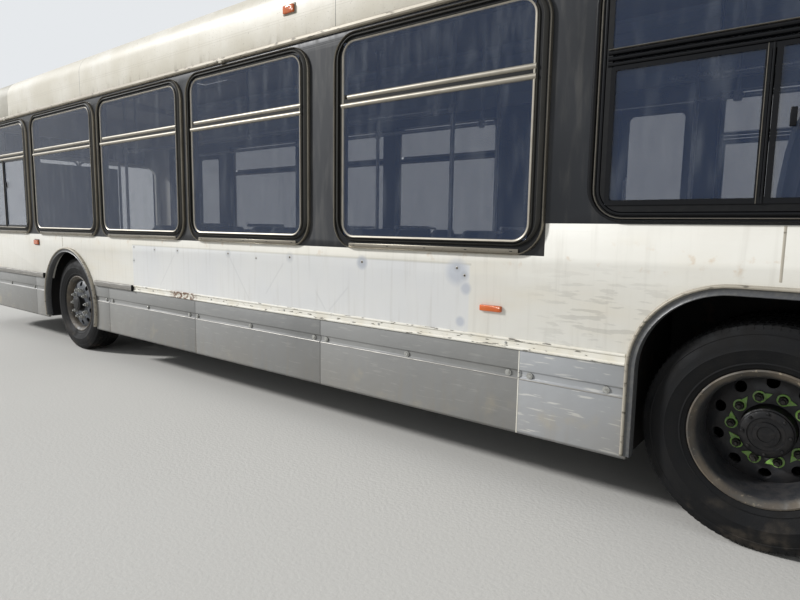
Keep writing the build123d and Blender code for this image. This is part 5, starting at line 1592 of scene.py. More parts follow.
class BUS_OT_rims(bpy.types.Operator):
    """Builds the wheels' barrels, discs, hubs, nuts and nut indicators"""

    bl_idname = "bus.rims"
    bl_label = "Rims, hubs and nuts"

    def execute(self, context):
        for side, word in ((1, "left"), (-1, "right")):
            front = Piece("front_rim_steel_" + word)
            front.lathe(BARREL, (0, 0, 0), rusty_rim_enamel, 72, closed=True)
            front.plate_with_holes(0.085, 0.252, front_dish, 0.011, grey_rim_enamel)
            front.lathe(FRONT_HUB, (0, 0, 0), black_hub_casting, 48)
            wheel_nuts(front, 0.096, zinc_fastener_steel)
            to_axle(front, FRONT_AXLE_X, side)
            front.done("steel_wheel", "front_rim_" + word, body="front_wheel_" + word)

            rear = Piece("rear_rim_steel_" + word)
            for y in (0, TWIN_Y - WHEEL_Y):
                rear.lathe([(r, y + place) for r, place in BARREL], (0, 0, 0), rusty_rim_enamel, 72, "Y", True)
            rear.plate_with_holes(0.1, 0.252, rear_dish, 0.012, rusty_rim_enamel)
            rear.lathe(REAR_HUB, (0, 0, 0), black_hub_casting, 56)
            # The rear nuts' near-black finish is painted shade of the deep dish
            wheel_nuts(rear, -0.062, shade_darkened_nut_steel)
            nut_indicators(rear, -0.06)
            studs = Piece("hub_bolt")
            studs.lathe([(0.007, 0.02), (0.007, 0.04), (0.005, 0.0415)], (0.0885, 0, 0), black_hub_casting, 6)
            ring(rear, studs, black_hub_casting, 8)
            to_axle(rear, REAR_AXLE_X, side)
            rear.done("steel_wheel", "rear_rims_" + word, body="rear_wheels_" + word)
        return {"FINISHED"}


@functools.cache
def outer_skin():
    """A search tree over the front end's outer surfaces."""
    mesh = bmesh.new()
    for node in ("front_mask", "windshield", "front_roof_cap", "destination_sign", "headlamps"):
        mesh.from_mesh(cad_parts[node].data)
    tree = BVHTree.FromBMesh(mesh)
    mesh.free()
    return tree


def front_point(y, z, proud=0.0):
    """The point of the front end's surface at a place across and a height, brought forward by proud."""
    point, *_ = outer_skin().ray_cast(Vector((8, y, z)), Vector((-1, 0, 0)))
    if point is None:
        point = outer_skin().find_nearest(Vector((6, y, z)))[0]
    return Vector((point.x + proud, y, z))


def lens_block(piece, low, high, finish, bevel=0.006, bezel=None):
    """A moulded lens with, behind it, a bezel that is wider by 8 mm all round."""
    piece.block(low, high, finish, bevel, 3)
    if bezel:
        low, high = Vector(low), Vector(high)
        thick = min(high - low)
        thin = list(high - low).index(thick)
        grow, inward = Vector((0.008, 0.008, 0.008)), Vector()
        grow[thin] = -0.3 * thick
        inward[thin] = copysign(0.3 * thick, -low[thin] - high[thin])
        piece.block(low - grow + inward, high + grow + inward, bezel, 0.003)


def lens_across(piece, xs, y, z, finish, bevel, bezel=None, half=(0.05, 0.05, 0.022)):
    """A lens block that faces along X: its ends along X, its middle, and half its widths and height round that."""
    lens_block(piece, (xs[0], y - half[0], z - half[2]), (xs[1], y + half[1], z + half[2]), finish, bevel, bezel)


# Marker lamps on the sides: place along X, height, length, height of the lens, face it stands on, bezel
MARKERS = [
    (-1.657, 0.92, 0.125, 0.032, SIDE_Y, None),
    (4.06, 1.11, 0.11, 0.05, SIDE_Y, grained_trim_plastic),
    (-0.095, 2.718, 0.1, 0.05, COVE_Y, anodised_window_bead),
    (5.3, 2.718, 0.1, 0.05, COVE_Y, anodised_window_bead),
    (-5.45, 2.718, 0.1, 0.05, COVE_Y, anodised_window_bead),
]
# Clearance lamps across both roof caps, and the finish of each tail lamp by its height
CROWN_LAMPS_Y = (-0.95, -0.18, 0.0, 0.18, 0.95)
CROWN_LAMP_Z = 2.7
TAIL_LENSES = [(1.0, clear_lens), (1.22, amber_lens), (2.0, red_lens)]
# Sections of a headlamp's bowl and glass: radius, and place forwards of the pod's face
LAMP_BOWL = [
    (0.082, -0.01), (0.086, 0.014), (0.082, 0.02), (0.076, 0.016), (0.068, -0.004), (0.03, -0.03), (0.0305, -0.034),
    (0.078, -0.02),
]
LAMP_DOME = [
    (0.075, 0.012), (0.07, 0.02), (0.045, 0.026), (0.012, 0.028), (0.012, 0.024), (0.045, 0.022), (0.07, 0.016)
]


LAMP_FLUTES = (0.016, 0.031, 0.045)
HEADLAMP_APART = 0.23
INDICATOR_Y = 1.07


class BUS_OT_lamps(bpy.types.Operator):
    """Builds the side markers, the clearance lamps, the headlamps and the tail lamps"""

    bl_idname = "bus.lamps"
    bl_label = "Lamps"

    def execute(self, context):
        piece = Piece("marker_and_clearance_lamps")
        for x, z, length, height, face, bezel in MARKERS:
            for side in (1, -1):
                near, far = sorted((side * (face - 0.004), side * (face + 0.018)))
                low, high = (x - length / 2, near, z - height / 2), (x + length / 2, far, z + height / 2)
                lens_block(piece, low, high, red_lens if x < -5 else amber_lens, bezel=bezel)
        tail_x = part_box("rear_roof_cap")[0].x
        for y in CROWN_LAMPS_Y:
            ahead = front_point(y, CROWN_LAMP_Z).x
            places = ((ahead - 0.03, ahead + 0.022), amber_lens), ((tail_x - 0.02, tail_x + 0.01), red_lens)
            for xs, finish in places:
                lens_across(piece, xs, y, CROWN_LAMP_Z, finish, 0.008, grained_trim_plastic)
        piece.done("red_lens")

        tails = Piece("tail_lamp_lenses")
        for box in islands("tail_lamps"):
            finish = next(lens_finish for top, lens_finish in TAIL_LENSES if box.high.z < top)
            lens_block(tails, box.low, box.high, finish, 0.006, glazing_rubber)
            middle = box.middle
            middle.x = box.low.x
            for radius in LAMP_FLUTES:
                ring = [(radius, 0), (radius + 0.004, 0), (radius + 0.004, -0.0015), (radius, -0.0015)]
                tails.lathe(ring, middle, finish, 32, "X", closed=True)
        tails.done("red_lens", "tail_lamps")

        heads = dressed("headlamps", grained_trim_plastic, 0.006, "headlamp_pods")
        for box in islands("headlamps"):
            middle = box.middle
            for y in (middle.y - HEADLAMP_APART / 2, middle.y + HEADLAMP_APART / 2):
                centre = front_point(y, middle.z, -0.012)
                heads.lathe(LAMP_BOWL, centre, mirror_glass, 40, "X", closed=True)
                heads.lathe(LAMP_DOME, centre, clear_windshield_glass, 40, "X", closed=True)
                heads.lathe([(0.012, -0.032), (0.014, -0.012), (0.007, -0.004)], centre, clear_lens, 16, "X")
            outer = INDICATOR_Y * box.side
            ahead = front_point(outer, middle.z).x
            half = (0.025, 0.018, 0.075)
            lens_across(heads, (ahead - 0.02, ahead + 0.008), outer, middle.z, amber_lens, 0.006, half=half)
        heads.done("lamp_lens", "headlamps")
        return {"FINISHED"}


# Seams of the front mask, as pairs of the place across and the height; the wipers' pivots, elbows and blades
MASK_SEAMS = [[(-1.14 + 2.28 * i / 24, z) for i in range(25)] for z in (1.075, 0.655)]
MASK_SEAMS += [[(y, z) for z in (0.66, 0.8, 0.95, 1.07)] for y in (-0.56, 0.56)]
WIPER = [(0.52, 1.1, 0.022), (0.46, 1.45, 0.04), (0.42, 1.7, 0.034)]
BUMPER_LAMPS_Y = (-0.86, 0.86)
MIRROR_Y = 1.42


class BUS_OT_front_end(bpy.types.Operator):
    """Builds the windshield's rubbers, the wipers, the sign's frame, the bumper, the mirrors and the front seams"""

    bl_idname = "bus.front_end"
    bl_label = "Front end"

    def execute(self, context):
        rubbers = Piece("windshield_rubbers_and_seams")
        openings = [(*box, 0.085, 8, 0.002, 0.013) for box in islands("windshield")]
        openings.append((*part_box("destination_sign"), 0.02, 3, 0.001, 0.008))
        for low, high, corner, steps, proud, radius in openings:
            path = self.finer(rounded(low.y, high.y, low.z, high.z, corner, steps))
            rubbers.tube([front_point(y, z, proud) for y, z in path], radius, glazing_rubber, 8, closed=True)
        for seam in MASK_SEAMS:
            rubbers.tube([front_point(y, z, -0.001) for y, z in seam], 0.003, glazing_rubber, 6)
        slat = Piece("slat")
        face = front_point(0, 0.82).x
        slat.block((face - 0.012, -0.42, 0.7), (face + 0.006, 0.42, 0.716), glazing_rubber, 0.003)
        rubbers.repeat(row_tree(), slat, glazing_rubber, Count=6, Step=(0, 0, 0.03))
        plate = front_point(0, 0.98)
        rubbers.block((plate.x - 0.004, -0.155, 0.925), (plate.x + 0.006, 0.155, 1.035), clear_lens, 0.003)
        rubbers.done("rubber_trim")

        for material_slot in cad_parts["destination_sign"].material_slots:
            material_slot.material = sign_glass()

        wipers = Piece("wipers")
        for side in (1, -1):
            pivot, elbow, tip = (front_point(side * y, z, proud) for y, z, proud in WIPER)
            wipers.lathe([(0.024, -0.03), (0.024, 0.0), (0.016, 0.012)], pivot, black_window_frame, 20, "X")
            bend = pivot.lerp(elbow, 0.5) + Vector((0.012, 0, 0))
            wipers.tube([pivot, bend, elbow, tip], 0.007, black_window_frame)
            blade = [front_point(side * WIPER[2][0], 1.3 + 0.15 * i, 0.022) for i in range(6)]
            wipers.tube(blade, 0.006, black_window_frame, 6)
            wipers.tube([point - Vector((0.01, 0, 0)) for point in blade], 0.004, glazing_rubber, 6)
        wipers.done("black_paint")

        bumper = dressed("front_bumper", ribbed_bumper_rubber, 0.01)
        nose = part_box("front_bumper")[1].x
        for y in BUMPER_LAMPS_Y:
            ring = [(0.052, -0.06), (0.062, -0.06), (0.06, -0.012), (0.052, -0.014)]
            bumper.lathe(ring, (nose, y, 0.44), black_window_frame, 32, "X", closed=True)
            bumper.lathe([(0.052, -0.06), (0.052, -0.022), (0.03, -0.016)], (nose, y, 0.44), clear_lens, 32, "X")
        bumper.done("rubber_trim", "front_bumper")

        mirrors = dressed("mirrors", grained_trim_plastic, 0.012, "door_mirrors")
        for box in islands("mirrors"):
            back, middle_y = box.low.x, box.side * MIRROR_Y
            pane = rounded(middle_y - 0.088, middle_y + 0.088, 1.765, 2.135, 0.035)
            mirrors.prism([(back + 0.004, y, z) for y, z in pane], (-0.007, 0, 0), mirror_glass, 0.002)
            rim = [(0.016, -0.001), (0.016, 0.006), (0.002, 0.006), (0.002, -0.001)]
            edges = (middle_y - 0.105, middle_y + 0.105, 1.745, 2.155)
            ring_round(mirrors, edges, 0.045, 6, rim, lambda y, z, out: (back - out, y, z), glazing_rubber)
            arm = [(5.835, box.side * y, z) for y, z in ((1.385, 2.16), (1.385, 2.222), (1.2, 2.345))]
            mirrors.tube(arm, 0.017, grained_trim_plastic, 12)
        mirrors.done("interior_plastic", "mirrors")
        return {"FINISHED"}

    def finer(self, path):
        """A closed path of pairs with points added along its straight runs."""
        result = []
        for (a, b), (c, d) in zip(path, path[1:] + path[:1]):
            steps = max(1, round(hypot(c - a, d - b) / 0.06))
            result += [(a + (c - a) * i / steps, b + (d - b) * i / steps) for i in range(steps)]
        return result


def louvres(piece, low, high, across, finish):
    """Slats leaning down and outwards between two corners of a panel that faces along X or Y."""
    low, high = Vector(low), Vector(high)
    pitch = sizes().slat_pitch
    slat = Piece("slat")
    near, far, run = (low.x, low.y), (low.x, high.y), (high.x - low.x, 0, 0)
    if across == "Y":
        far, run = (high.x, low.y), (0, high.y - low.y, 0)
    outline = [(*near, low.z + 0.026), (*far, low.z), (*far, low.z + 0.008), (*near, low.z + 0.034)]
    slat.prism(outline, run, finish)
    piece.repeat(row_tree(), slat, finish, Count=int((high.z - low.z) / pitch), Step=(0, 0, pitch))


def frame_round(piece, edges, width, place, depth, finish, facing="X"):
    """A flat frame of a width round an opening's edges, closed, facing along X or Y."""
    section = ((0, 0), (0, depth), (width, depth), (width, 0))
    point = {"X": lambda a, b, out: (place + out, a, b), "Y": lambda a, b, out: (a, place + out, b)}[facing]
    ring_round(piece, edges, 0.02, 3, section, point, finish)


# The engine door's louvred openings: foot of each, half their length and their height; the door's hinges and catches
LOUVRES_Z = (0.8, 1.1)
LOUVRE_HALF = 0.585
DOOR_HINGES_Y = (-0.7, 0.7)


class BUS_OT_rear_end(bpy.types.Operator):
    """Builds the engine door, the intake grilles, the rear bumper and the tow eyes"""

    bl_idname = "bus.rear_end"
    bl_label = "Rear end"

    def execute(self, context):
        door = dressed("engine_door", aged_white_enamel, 0.006, "engine_door_panel")
        low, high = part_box("engine_door")
        face = low.x
        for low_z in LOUVRES_Z:
            edges = (-LOUVRE_HALF - 0.015, LOUVRE_HALF + 0.015, low_z - 0.02, low_z + 0.235)
            frame_round(door, edges, 0.018, face - 0.008, 0.012, aged_white_enamel)
            # A black rubber sheet behind the slats: painted shade of the opening
            back = (face - 0.001, -LOUVRE_HALF, low_z - 0.005), (face + 0.003, LOUVRE_HALF, low_z + 0.22)
            door.block(*back, glazing_rubber)
            ends = (face, -LOUVRE_HALF, low_z - 0.004), (face - 0.012, LOUVRE_HALF, low_z + 0.222)
            louvres(door, *ends, "Y", aged_white_enamel)
        for y in DOOR_HINGES_Y:
            door.block((face - 0.014, y - 0.045, 0.76), (face + 0.004, y + 0.045, 0.8), black_window_frame, 0.005)
            hinge = [(face - 0.012, y + end, high.z - 0.01) for end in (-0.05, 0.05)]
            door.tube(hinge, 0.011, zinc_fastener_steel)
        door.block((face - 0.006, -0.155, 0.688), (face + 0.002, 0.155, 0.772), clear_lens, 0.003)
        door.done("white_paint", "engine_door", body="engine_door")

        grilles = Piece("air_intake_grilles")
        for low, high in islands("intake_grilles"):
            if high.x - low.x < 0.1:
                # A black plate behind the slats: painted shade of the grille's depth
                grilles.block((high.x - 0.008, low.y, low.z), high, chassis_black)
                frame_round(grilles, (low.y, high.y, low.z, high.z), 0.03, low.x - 0.006, 0.03, aged_black_band)
                ends = (high.x - 0.006, low.y + 0.028, low.z + 0.028), (low.x, high.y - 0.028, high.z - 0.04)
                louvres(grilles, *ends, "Y", black_window_frame)
                for y in (-0.28, 0.28):
                    ends = (low.x - 0.004, y - 0.012, low.z + 0.02), (high.x - 0.004, y + 0.012, high.z - 0.02)
                    grilles.block(*ends, aged_black_band, 0.003)
            else:
                # A black plate behind the slats: painted shade of the grille's depth
                grilles.block(low, (high.x, low.y + 0.008, high.z), chassis_black)
                edges = (low.x, high.x, low.z, high.z)
                frame_round(grilles, edges, 0.028, high.y - 0.018, 0.026, aged_white_enamel, "Y")
                near = (low.x + 0.026, low.y + 0.006, low.z + 0.026)
                louvres(grilles, near, (high.x - 0.026, high.y + 0.003, high.z - 0.04), "X", aged_white_enamel)
        grilles.done("black_paint", "intake_grilles")

        dressed("rear_bumper", ribbed_bumper_rubber, 0.01).done("rubber_trim", "rear_bumper")
        for node in ("front_tow_eyes", "rear_tow_eyes"):
            dressed(node, chassis_black, 0.003).done("chassis_steel", node)
        return {"FINISHED"}


# Margins of a door leaf's pane from its edges: sides, head and foot
LEAF_FRAME = 0.06
LEAF_KICK = 0.32
# A leaf's handrail: place inwards from the leaf's face, and height
HANDRAIL = [(0, 0.92), (0.045, 0.95), (0.045, 1.75), (0, 1.78)]
DOOR_NODES = [f"{door}_door_{leaf}_leaf" for door in ("front", "rear") for leaf in ("front", "rear")]


class BUS_OT_doors(bpy.types.Operator):
    """Builds the four door leaves with their frames, panes, rubbers and handrails"""

    bl_idname = "bus.doors"
    bl_label = "Doors"

    def execute(self, context):
        for node in DOOR_NODES:
            low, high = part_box(node)
            piece = Piece(node + "_finished")
            outer, inner = low.y, high.y
            leaf = (low.x, high.x, low.z, high.z)
            pane = (low.x + LEAF_FRAME, high.x - LEAF_FRAME, low.z + LEAF_KICK, high.z - LEAF_FRAME)
            frame_section = ((0.003, outer), (0, outer + 0.003), (0, inner - 0.003), (0.003, inner))
            loops = [[(x, y, z) for x, z in drawn_in(leaf, inset, 0.008, 8)] for inset, y in frame_section]
            loops += [[(x, y, z) for x, z in rounded(*pane, 0.05, 8)] for y in (inner, outer)]
            piece.loft(loops, aged_black_band, closed=True)
            glass = [(x, outer + 0.006, z) for x, z in drawn_in(pane, -0.004, 0.052, 8)]
            piece.prism(glass, (0, 0.006, 0), tinted_side_glass)
            seal = ((-0.01, outer + 0.001), (-0.009, outer - 0.003), (0.006, outer - 0.003), (0.008, outer + 0.008))
            loops = [[(x, y, z) for x, z in drawn_in(pane, inset, 0.05 - inset, 8)] for inset, y in seal]
            piece.loft(loops, glazing_rubber, closed=True)
            meeting = high.x if node.endswith("rear_leaf") else low.x
            inward = copysign(0.016, (low.x + high.x) / 2 - meeting)
            near, far = sorted((meeting, meeting + inward))
            piece.block((near, outer - 0.004, low.z), (far, inner + 0.002, high.z), glazing_rubber, 0.004)
            plate = (low.x + 0.03, outer - 0.003, low.z + 0.03), (high.x - 0.03, outer + 0.001, low.z + 0.27)
            piece.block(*plate, worn_rail_aluminium, 0.002)
            rail = [(meeting + 4.5 * inward, inner + out, z) for out, z in HANDRAIL]
            piece.tube(rail, 0.013, brushed_stainless_tube, 12)
            piece.done("black_paint", node, body=node)
        return {"FINISHED"}


ROOF_SEAMS_X = (3.6, 1.9, 0.6, -0.7, -2.0, -4.6)


class BUS_OT_roof_fittings(bpy.types.Operator):
    """Finishes the two roof hatches and lays the roof's seams and their rivets"""

    bl_idname = "bus.roof_fittings"
    bl_label = "Roof hatches and seams"

    def execute(self, context):
        for node in ("front_roof_hatch", "rear_roof_hatch"):
            low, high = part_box(node)
            piece = dressed(node, weathered_roof_enamel, 0.012, node + "_lid")
            for y in (-0.16, 0.0, 0.16):
                rib = (low.x + 0.08, y - 0.02, high.z - 0.004), (high.x - 0.08, y + 0.02, high.z + 0.006)
                piece.block(*rib, weathered_roof_enamel, 0.005)
            hinge = [(high.x + 0.004, y, low.z + 0.012) for y in (-0.2, 0.2)]
            piece.tube(hinge, 0.01, anodised_window_bead)
            piece.done("roof_paint", node, body=node)

        seams = Piece("roof_seams_and_rivets")
        hull = bmesh.new()
        hull.from_mesh(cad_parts["roof"].data)
        surface = BVHTree.FromBMesh(hull)
        hull.free()
        rivets = []
        for x in ROOF_SEAMS_X:
            places = [min(max(-1 + i / 12, -0.995), 0.995) for i in range(25)]
            points = [surface.ray_cast(Vector((x, y, 4)), Vector((0, 0, -1)))[0] for y in places]
            for shift in (-0.022, 0.022):
                rivets += [point + Vector((shift, 0, 0.001)) for point in points]
            edge = [(point + Vector((-0.035, 0, 0)), point + Vector((-0.035, 0, 0.002))) for point in points]
            for (foot, top), (next_foot, next_top) in zip(edge, edge[1:]):
                seams.prism([foot, top, next_top, next_foot], (0.07, 0, 0), weathered_roof_enamel)
        dome = Piece("rivet")
        for point in rivets:
            dome.mesh.verts.new(point)
        seams.repeat(rivet_tree(), dome, weathered_roof_enamel, Radius=0.006)
        seams.done("roof_paint")
        return {"FINISHED"}


# A seat shell's section: places along X and Z from the seat's front on the floor
SEAT_PAN = [
    (-0.005, 0.422), (-0.03, 0.44), (-0.1, 0.438), (-0.22, 0.424), (-0.33, 0.418), (-0.4, 0.434),
    (-0.44, 0.5), (-0.462, 0.62), (-0.482, 0.76), (-0.503, 0.88), (-0.512, 0.925), (-0.522, 0.942),
]
SEAT_WIDTH = 0.41


def seat_shell(piece, front_x, left_y, deck_z):
    """One moulded seat shell of a pair: a dished pan that sweeps up into a rounded back."""
    under = [(x - 0.016, z - 0.014) for x, z in reversed(SEAT_PAN)]
    under[0], under[-1] = (-0.534, 0.938), (-0.009, 0.404)
    loops = []
    for i in range(11):
        share = i / 10
        across = abs(2 * share - 1)
        curl = 0.03 * across**3
        trim = 0.05 * max(0.0, across - 0.75) ** 2 * 16
        loop = []
        for x, z in SEAT_PAN + under:
            upright = min(1.0, max(0.0, (z - 0.45) / 0.2))
            reach_x = x + curl * upright - (trim if x > -0.02 else 0)
            reach_z = z + curl * (1 - upright) - (trim if z > 0.9 else 0)
            loop.append((front_x + reach_x, left_y - SEAT_WIDTH * share, deck_z + reach_z))
        loops.append(loop)
    piece.loft(loops, moulded_seat_plastic)


def rail_clamp(piece, centre):
    """The cast clamp where a grab rail meets a pole."""
    piece.lathe([(0.022, -0.03), (0.027, -0.02), (0.027, 0.02), (0.022, 0.03)], centre, zinc_fastener_steel, 20, "Z")


CUSHION_SWELL = 0.014


def cushion(name, outline, left_y, width):
    """A padded cushion: its outline along X and Z carried across, then blown up by a short cloth run."""
    block = Piece(name)
    block.prism([(x, left_y, z) for x, z in outline], (0, -width, 0), woven_seat_moquette, 0.022, 3)
    pad = block.shown()
    remesh = pad.modifiers.new("remesh", "REMESH")
    remesh.mode = "VOXEL"
    remesh.voxel_size = 0.008
    settle(pad)
    rest = [vertex.co.copy() for vertex in pad.data.vertices]
    cloth = pad.modifiers.new("cloth", "CLOTH")
    cloth.settings.use_pressure = True
    cloth.settings.uniform_pressure_force = 4.0
    cloth.settings.effector_weights.gravity = 0.0
    cloth.settings.quality = 5
    for step in range(1, 21):
        bpy.context.scene.frame_set(step)
    settle(pad)
    bpy.context.scene.frame_set(1)
    for vertex, start in zip(pad.data.vertices, rest):
        moved = vertex.co - start
        if moved.length > CUSHION_SWELL:
            vertex.co = start + moved.normalized() * CUSHION_SWELL
    smooth = pad.modifiers.new("smooth", "SUBSURF")
    smooth.levels = smooth.render_levels = 1
    settle(pad)
    pad.data.materials.clear()
    pad.data.materials.append(woven_seat_moquette())
    pad.data.shade_smooth()
    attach(pad, "bus_body")
    return pad


def settle(pad):
    """Makes an object's modifiers part of its mesh."""
    mesh = bpy.data.meshes.new_from_object(pad.evaluated_get(bpy.context.evaluated_depsgraph_get()))
    pad.modifiers.clear()
    pad.data = mesh


class BUS_OT_cabin(bpy.types.Operator):
    """Fits the seats, poles, rails, lights, floor and the driver's place"""

    bl_idname = "bus.cabin"
    bl_label = "Cabin"

    def execute(self, context):
        for material_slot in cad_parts["floor_decks"].material_slots:
            material_slot.material = speckled_vinyl_floor()
        self.seats()
        self.poles()
        self.lining()
        self.driver_place()
        self.steering_wheel()
        self.driver_seat()
        return {"FINISHED"}

    def seats(self):
        """The passenger seats' shells on their beams and legs, with a handle at the aisle."""
        seats = Piece("passenger_seat_shells")
        for box in islands("passenger_seats"):
            deck_z = box.low.z - 0.39
            wall = box.high.y if box.high.y > 0 else box.low.y
            inward = -1 if wall > 0 else 1
            for left_y in (box.high.y - 0.012, box.high.y - 0.452):
                seat_shell(seats, box.high.x, left_y, deck_z)
            beam_z = deck_z + 0.385
            for x in (box.high.x - 0.12, box.high.x - 0.4):
                seats.tube([(x, wall, beam_z), (x, wall + inward * 0.86, beam_z)], 0.018, brushed_stainless_tube)
            leg_y, foot_x, foot_z = wall + inward * 0.62, box.high.x - 0.26, deck_z
            for housing in islands("wheel_housings"):
                if housing.low.x < foot_x < housing.high.x and housing.low.y < leg_y < housing.high.y:
                    foot_z = housing.high.z
            leg = [(box.high.x - 0.12, leg_y, beam_z), (foot_x, leg_y, foot_z + 0.012)]
            seats.tube(leg, 0.018, brushed_stainless_tube)
            handle = [(0.05, 0.84, 0.62), (0.02, 0.84, 0.86), (0.012, 0.8, 0.955), (0.012, 0.41, 0.955)]
            points = [(box.low.x + x, wall + inward * y, deck_z + z) for x, y, z in handle]
            seats.tube(points, 0.0125, brushed_stainless_tube)
        seats.done("seat_plastic", "passenger_seats")

    def poles(self):
        """The poles with their flanges, the overhead rails and the fare reader."""
        poles = Piece("grab_poles_and_rails")
        for box in islands("grab_poles"):
            middle = box.middle
            half = box.high.z - middle.z
            poles.lathe([(0.017, -half), (0.017, half)], middle, brushed_stainless_tube, 20, "Z")
            for z, up in ((box.low.z, 1), (box.high.z, -1)):
                flange = [(0.04, 0.0), (0.04, 0.006 * up), (0.024, 0.014 * up), (0.018, 0.016 * up)]
                poles.lathe(flange, (middle.x, middle.y, z), brushed_stainless_tube, 24, "Z")
            rail_clamp(poles, (middle.x, middle.y, RAIL_Z))
        for side in (1, -1):
            y = side * RAIL_Y
            for rear_x, front_x in RAILS_X:
                poles.tube([(rear_x, y, RAIL_Z), (front_x, y, RAIL_Z)], 0.016, brushed_stainless_tube, 12)
                for x in (rear_x + 0.15, (rear_x + front_x) / 2, front_x - 0.25):
                    poles.tube([(x, y, RAIL_Z), (x, y, 2.9)], 0.012, brushed_stainless_tube)
                    rail_clamp(poles, (x, y, RAIL_Z))
        for x in (-0.74, -2.05):
            poles.tube([(x, -1.1, 0.42 if x > -1 else 0.95), (x, -1.1, 2.88)], 0.017, brushed_stainless_tube, 14)
            poles.tube([(x, -1.1, 1.3), (x, -0.347, 1.3)], 0.015, brushed_stainless_tube)
        poles.block((-0.8, -1.13, 1.42), (-0.69, -0.97, 1.68), grained_trim_plastic, 0.018, 3)
        poles.block((-0.78, -0.972, 1.53), (-0.71, -0.964, 1.64), sign_glass, 0.003)
        poles.done("stainless_tube", "grab_poles")

    def lining(self):
        """The coved lining and the light strips along both sides."""
        lining = Piece("ceiling_lights_and_lining")
        for side in (1, -1):
            lining.slab(side, (-5.5, 4.6), (0.62, 0.86), (2.845, 2.88), clear_lens, 0.01)
            lining.prism([(-5.6, side * y, z) for y, z in LINING_SECTION], (10.2, 0, 0), cabin_lining)
        lining.done("interior_plastic")

    def driver_place(self):
        """The partition with its rail, and the dashboard with gauges and switches."""
        partition = dressed("driver_partition", grained_trim_plastic, 0.008, "driver_partition_panel")
        low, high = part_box("driver_partition")
        near, top = low.y - 0.02, high.z + 0.1
        points = [(low.x, near, low.z - 0.7), (low.x, near, top), (low.x, high.y - 0.15, top)]
        partition.tube(points, 0.016, brushed_stainless_tube, 12)
        partition.done("interior_plastic", "driver_partition")

        dash = dressed("dashboard", grained_trim_plastic, 0.012, "dashboard_and_gauges")
        for y, radius in GAUGES:
            centre = (5.395, y, 1.075)
            bezel = [(radius, -0.03), (radius, 0.004), (radius - 0.006, 0.008)]
            dash.lathe(bezel, centre, black_window_frame, 32, "Z")
            dash.lathe([(radius - 0.008, 0.0), (radius - 0.009, 0.009)], centre, mirror_glass, 32, "Z")
        switch = Piece("switch")
        switch.block((5.44, 0.2, 1.098), (5.47, 0.222, 1.112), black_window_frame, 0.003)
        dash.repeat(row_tree(), switch, black_window_frame, Count=9, Step=(0, 0.032, 0.0))
        dash.done("interior_plastic", "dashboard")

    def steering_wheel(self):
        """The steering wheel's rim, spokes, boss and column about its leaning axis."""
        low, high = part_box("steering_wheel")
        piece = Piece("steering_wheel_rim")
        rim = [(0.222 + 0.0135 * cos(a), 0.0135 * sin(a)) for a in [tau * i / 12 for i in range(12)]]
        piece.lathe(rim, (0, 0, 0), grained_trim_plastic, 64, "Z", closed=True)
        boss = [(0.024, -0.14), (0.026, -0.03), (0.058, -0.022), (0.062, -0.002), (0.052, 0.01), (0.02, 0.013)]
        piece.lathe(boss, (0, 0, 0), grained_trim_plastic, 40, "Z")
        for turn in (0.5, 2.64, pi * 1.5):
            way = Vector((cos(turn), sin(turn), 0))
            across = Vector((-way.y, way.x, 0))
            loops = []
            for reach, half, thick, drop in SPOKE:
                middle, lift, aside = way * reach + Vector((0, 0, drop)), Vector((0, 0, thick)), across * half
                corners = ((-1, -1), (1, -1), (1, 1), (-1, 1))
                loops.append([middle + aside * a + lift * b for a, b in corners])
            piece.loft(loops, grained_trim_plastic)
        rim_x = high.x - 0.235 * cos(STEERING_TILT) + 0.006
        move(piece, (rim_x, (low.y + high.y) / 2, 1.08), Matrix.Rotation(-STEERING_TILT, 3, "Y"))
        piece.done("interior_plastic", "steering_wheel", body="steering_wheel")

    def driver_seat(self):
        """The driver's seat: a bellows pedestal, a moulded back shell and two padded cushions."""
        low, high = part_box("driver_seat")
        centre_y = (low.y + high.y) / 2
        base = Piece("driver_seat_base")
        folds = [(0.125 + (0.022 if i % 2 else 0.0), low.z + 0.03 + 0.042 * i) for i in range(11)]
        base.lathe([(r, z - low.z) for r, z in folds], (4.51, centre_y, low.z), glazing_rubber, 36, "Z")
        base.block((4.36, centre_y - 0.15, low.z), (4.66, centre_y + 0.15, low.z + 0.035), chassis_black, 0.006)
        base.block((4.3, centre_y - 0.2, 0.845), (4.74, centre_y + 0.2, 0.878), grained_trim_plastic, 0.01)
        shell = [(4.245, 0.88), (4.29, 0.87), (4.235, 1.6), (4.2, 1.62), (4.187, 1.6)]
        base.prism([(x, centre_y + 0.21, z) for x, z in shell], (0, -0.42, 0), grained_trim_plastic, 0.014, 3)
        base.done("interior_plastic", "driver_seat")
        cushion("driver_seat_cushion", SEAT_CUSHION, centre_y + 0.215, 0.43)
        cushion("driver_back_cushion", BACK_CUSHION, centre_y + 0.205, 0.41)


# Overhead grab rails: height, place across and ends along X; and the steering wheel's lean
RAIL_Z = 2.18
RAIL_Y = 0.33
RAILS_X = [(-0.76, 3.9), (-4.9, -2.2)]
STEERING_TILT = radians(28)
# The dashboard's gauges: place across and radius
GAUGES = [(0.62, 0.045), (0.74, 0.058), (0.87, 0.045)]
# A spoke of the steering wheel: reach from the axis, half its width, half its thickness and rise
SPOKE = [(0.045, 0.03, 0.007, -0.006), (0.13, 0.016, 0.006, -0.01), (0.222, 0.013, 0.006, 0.0)]
# The ceiling lining's section on one side: places outwards and up
LINING_SECTION = [
    (1.222, 2.5), (1.222, 2.62), (1.02, 2.86), (0.9, 2.885), (0.9, 2.875), (1.01, 2.85), (1.2, 2.61), (1.206, 2.5),
]
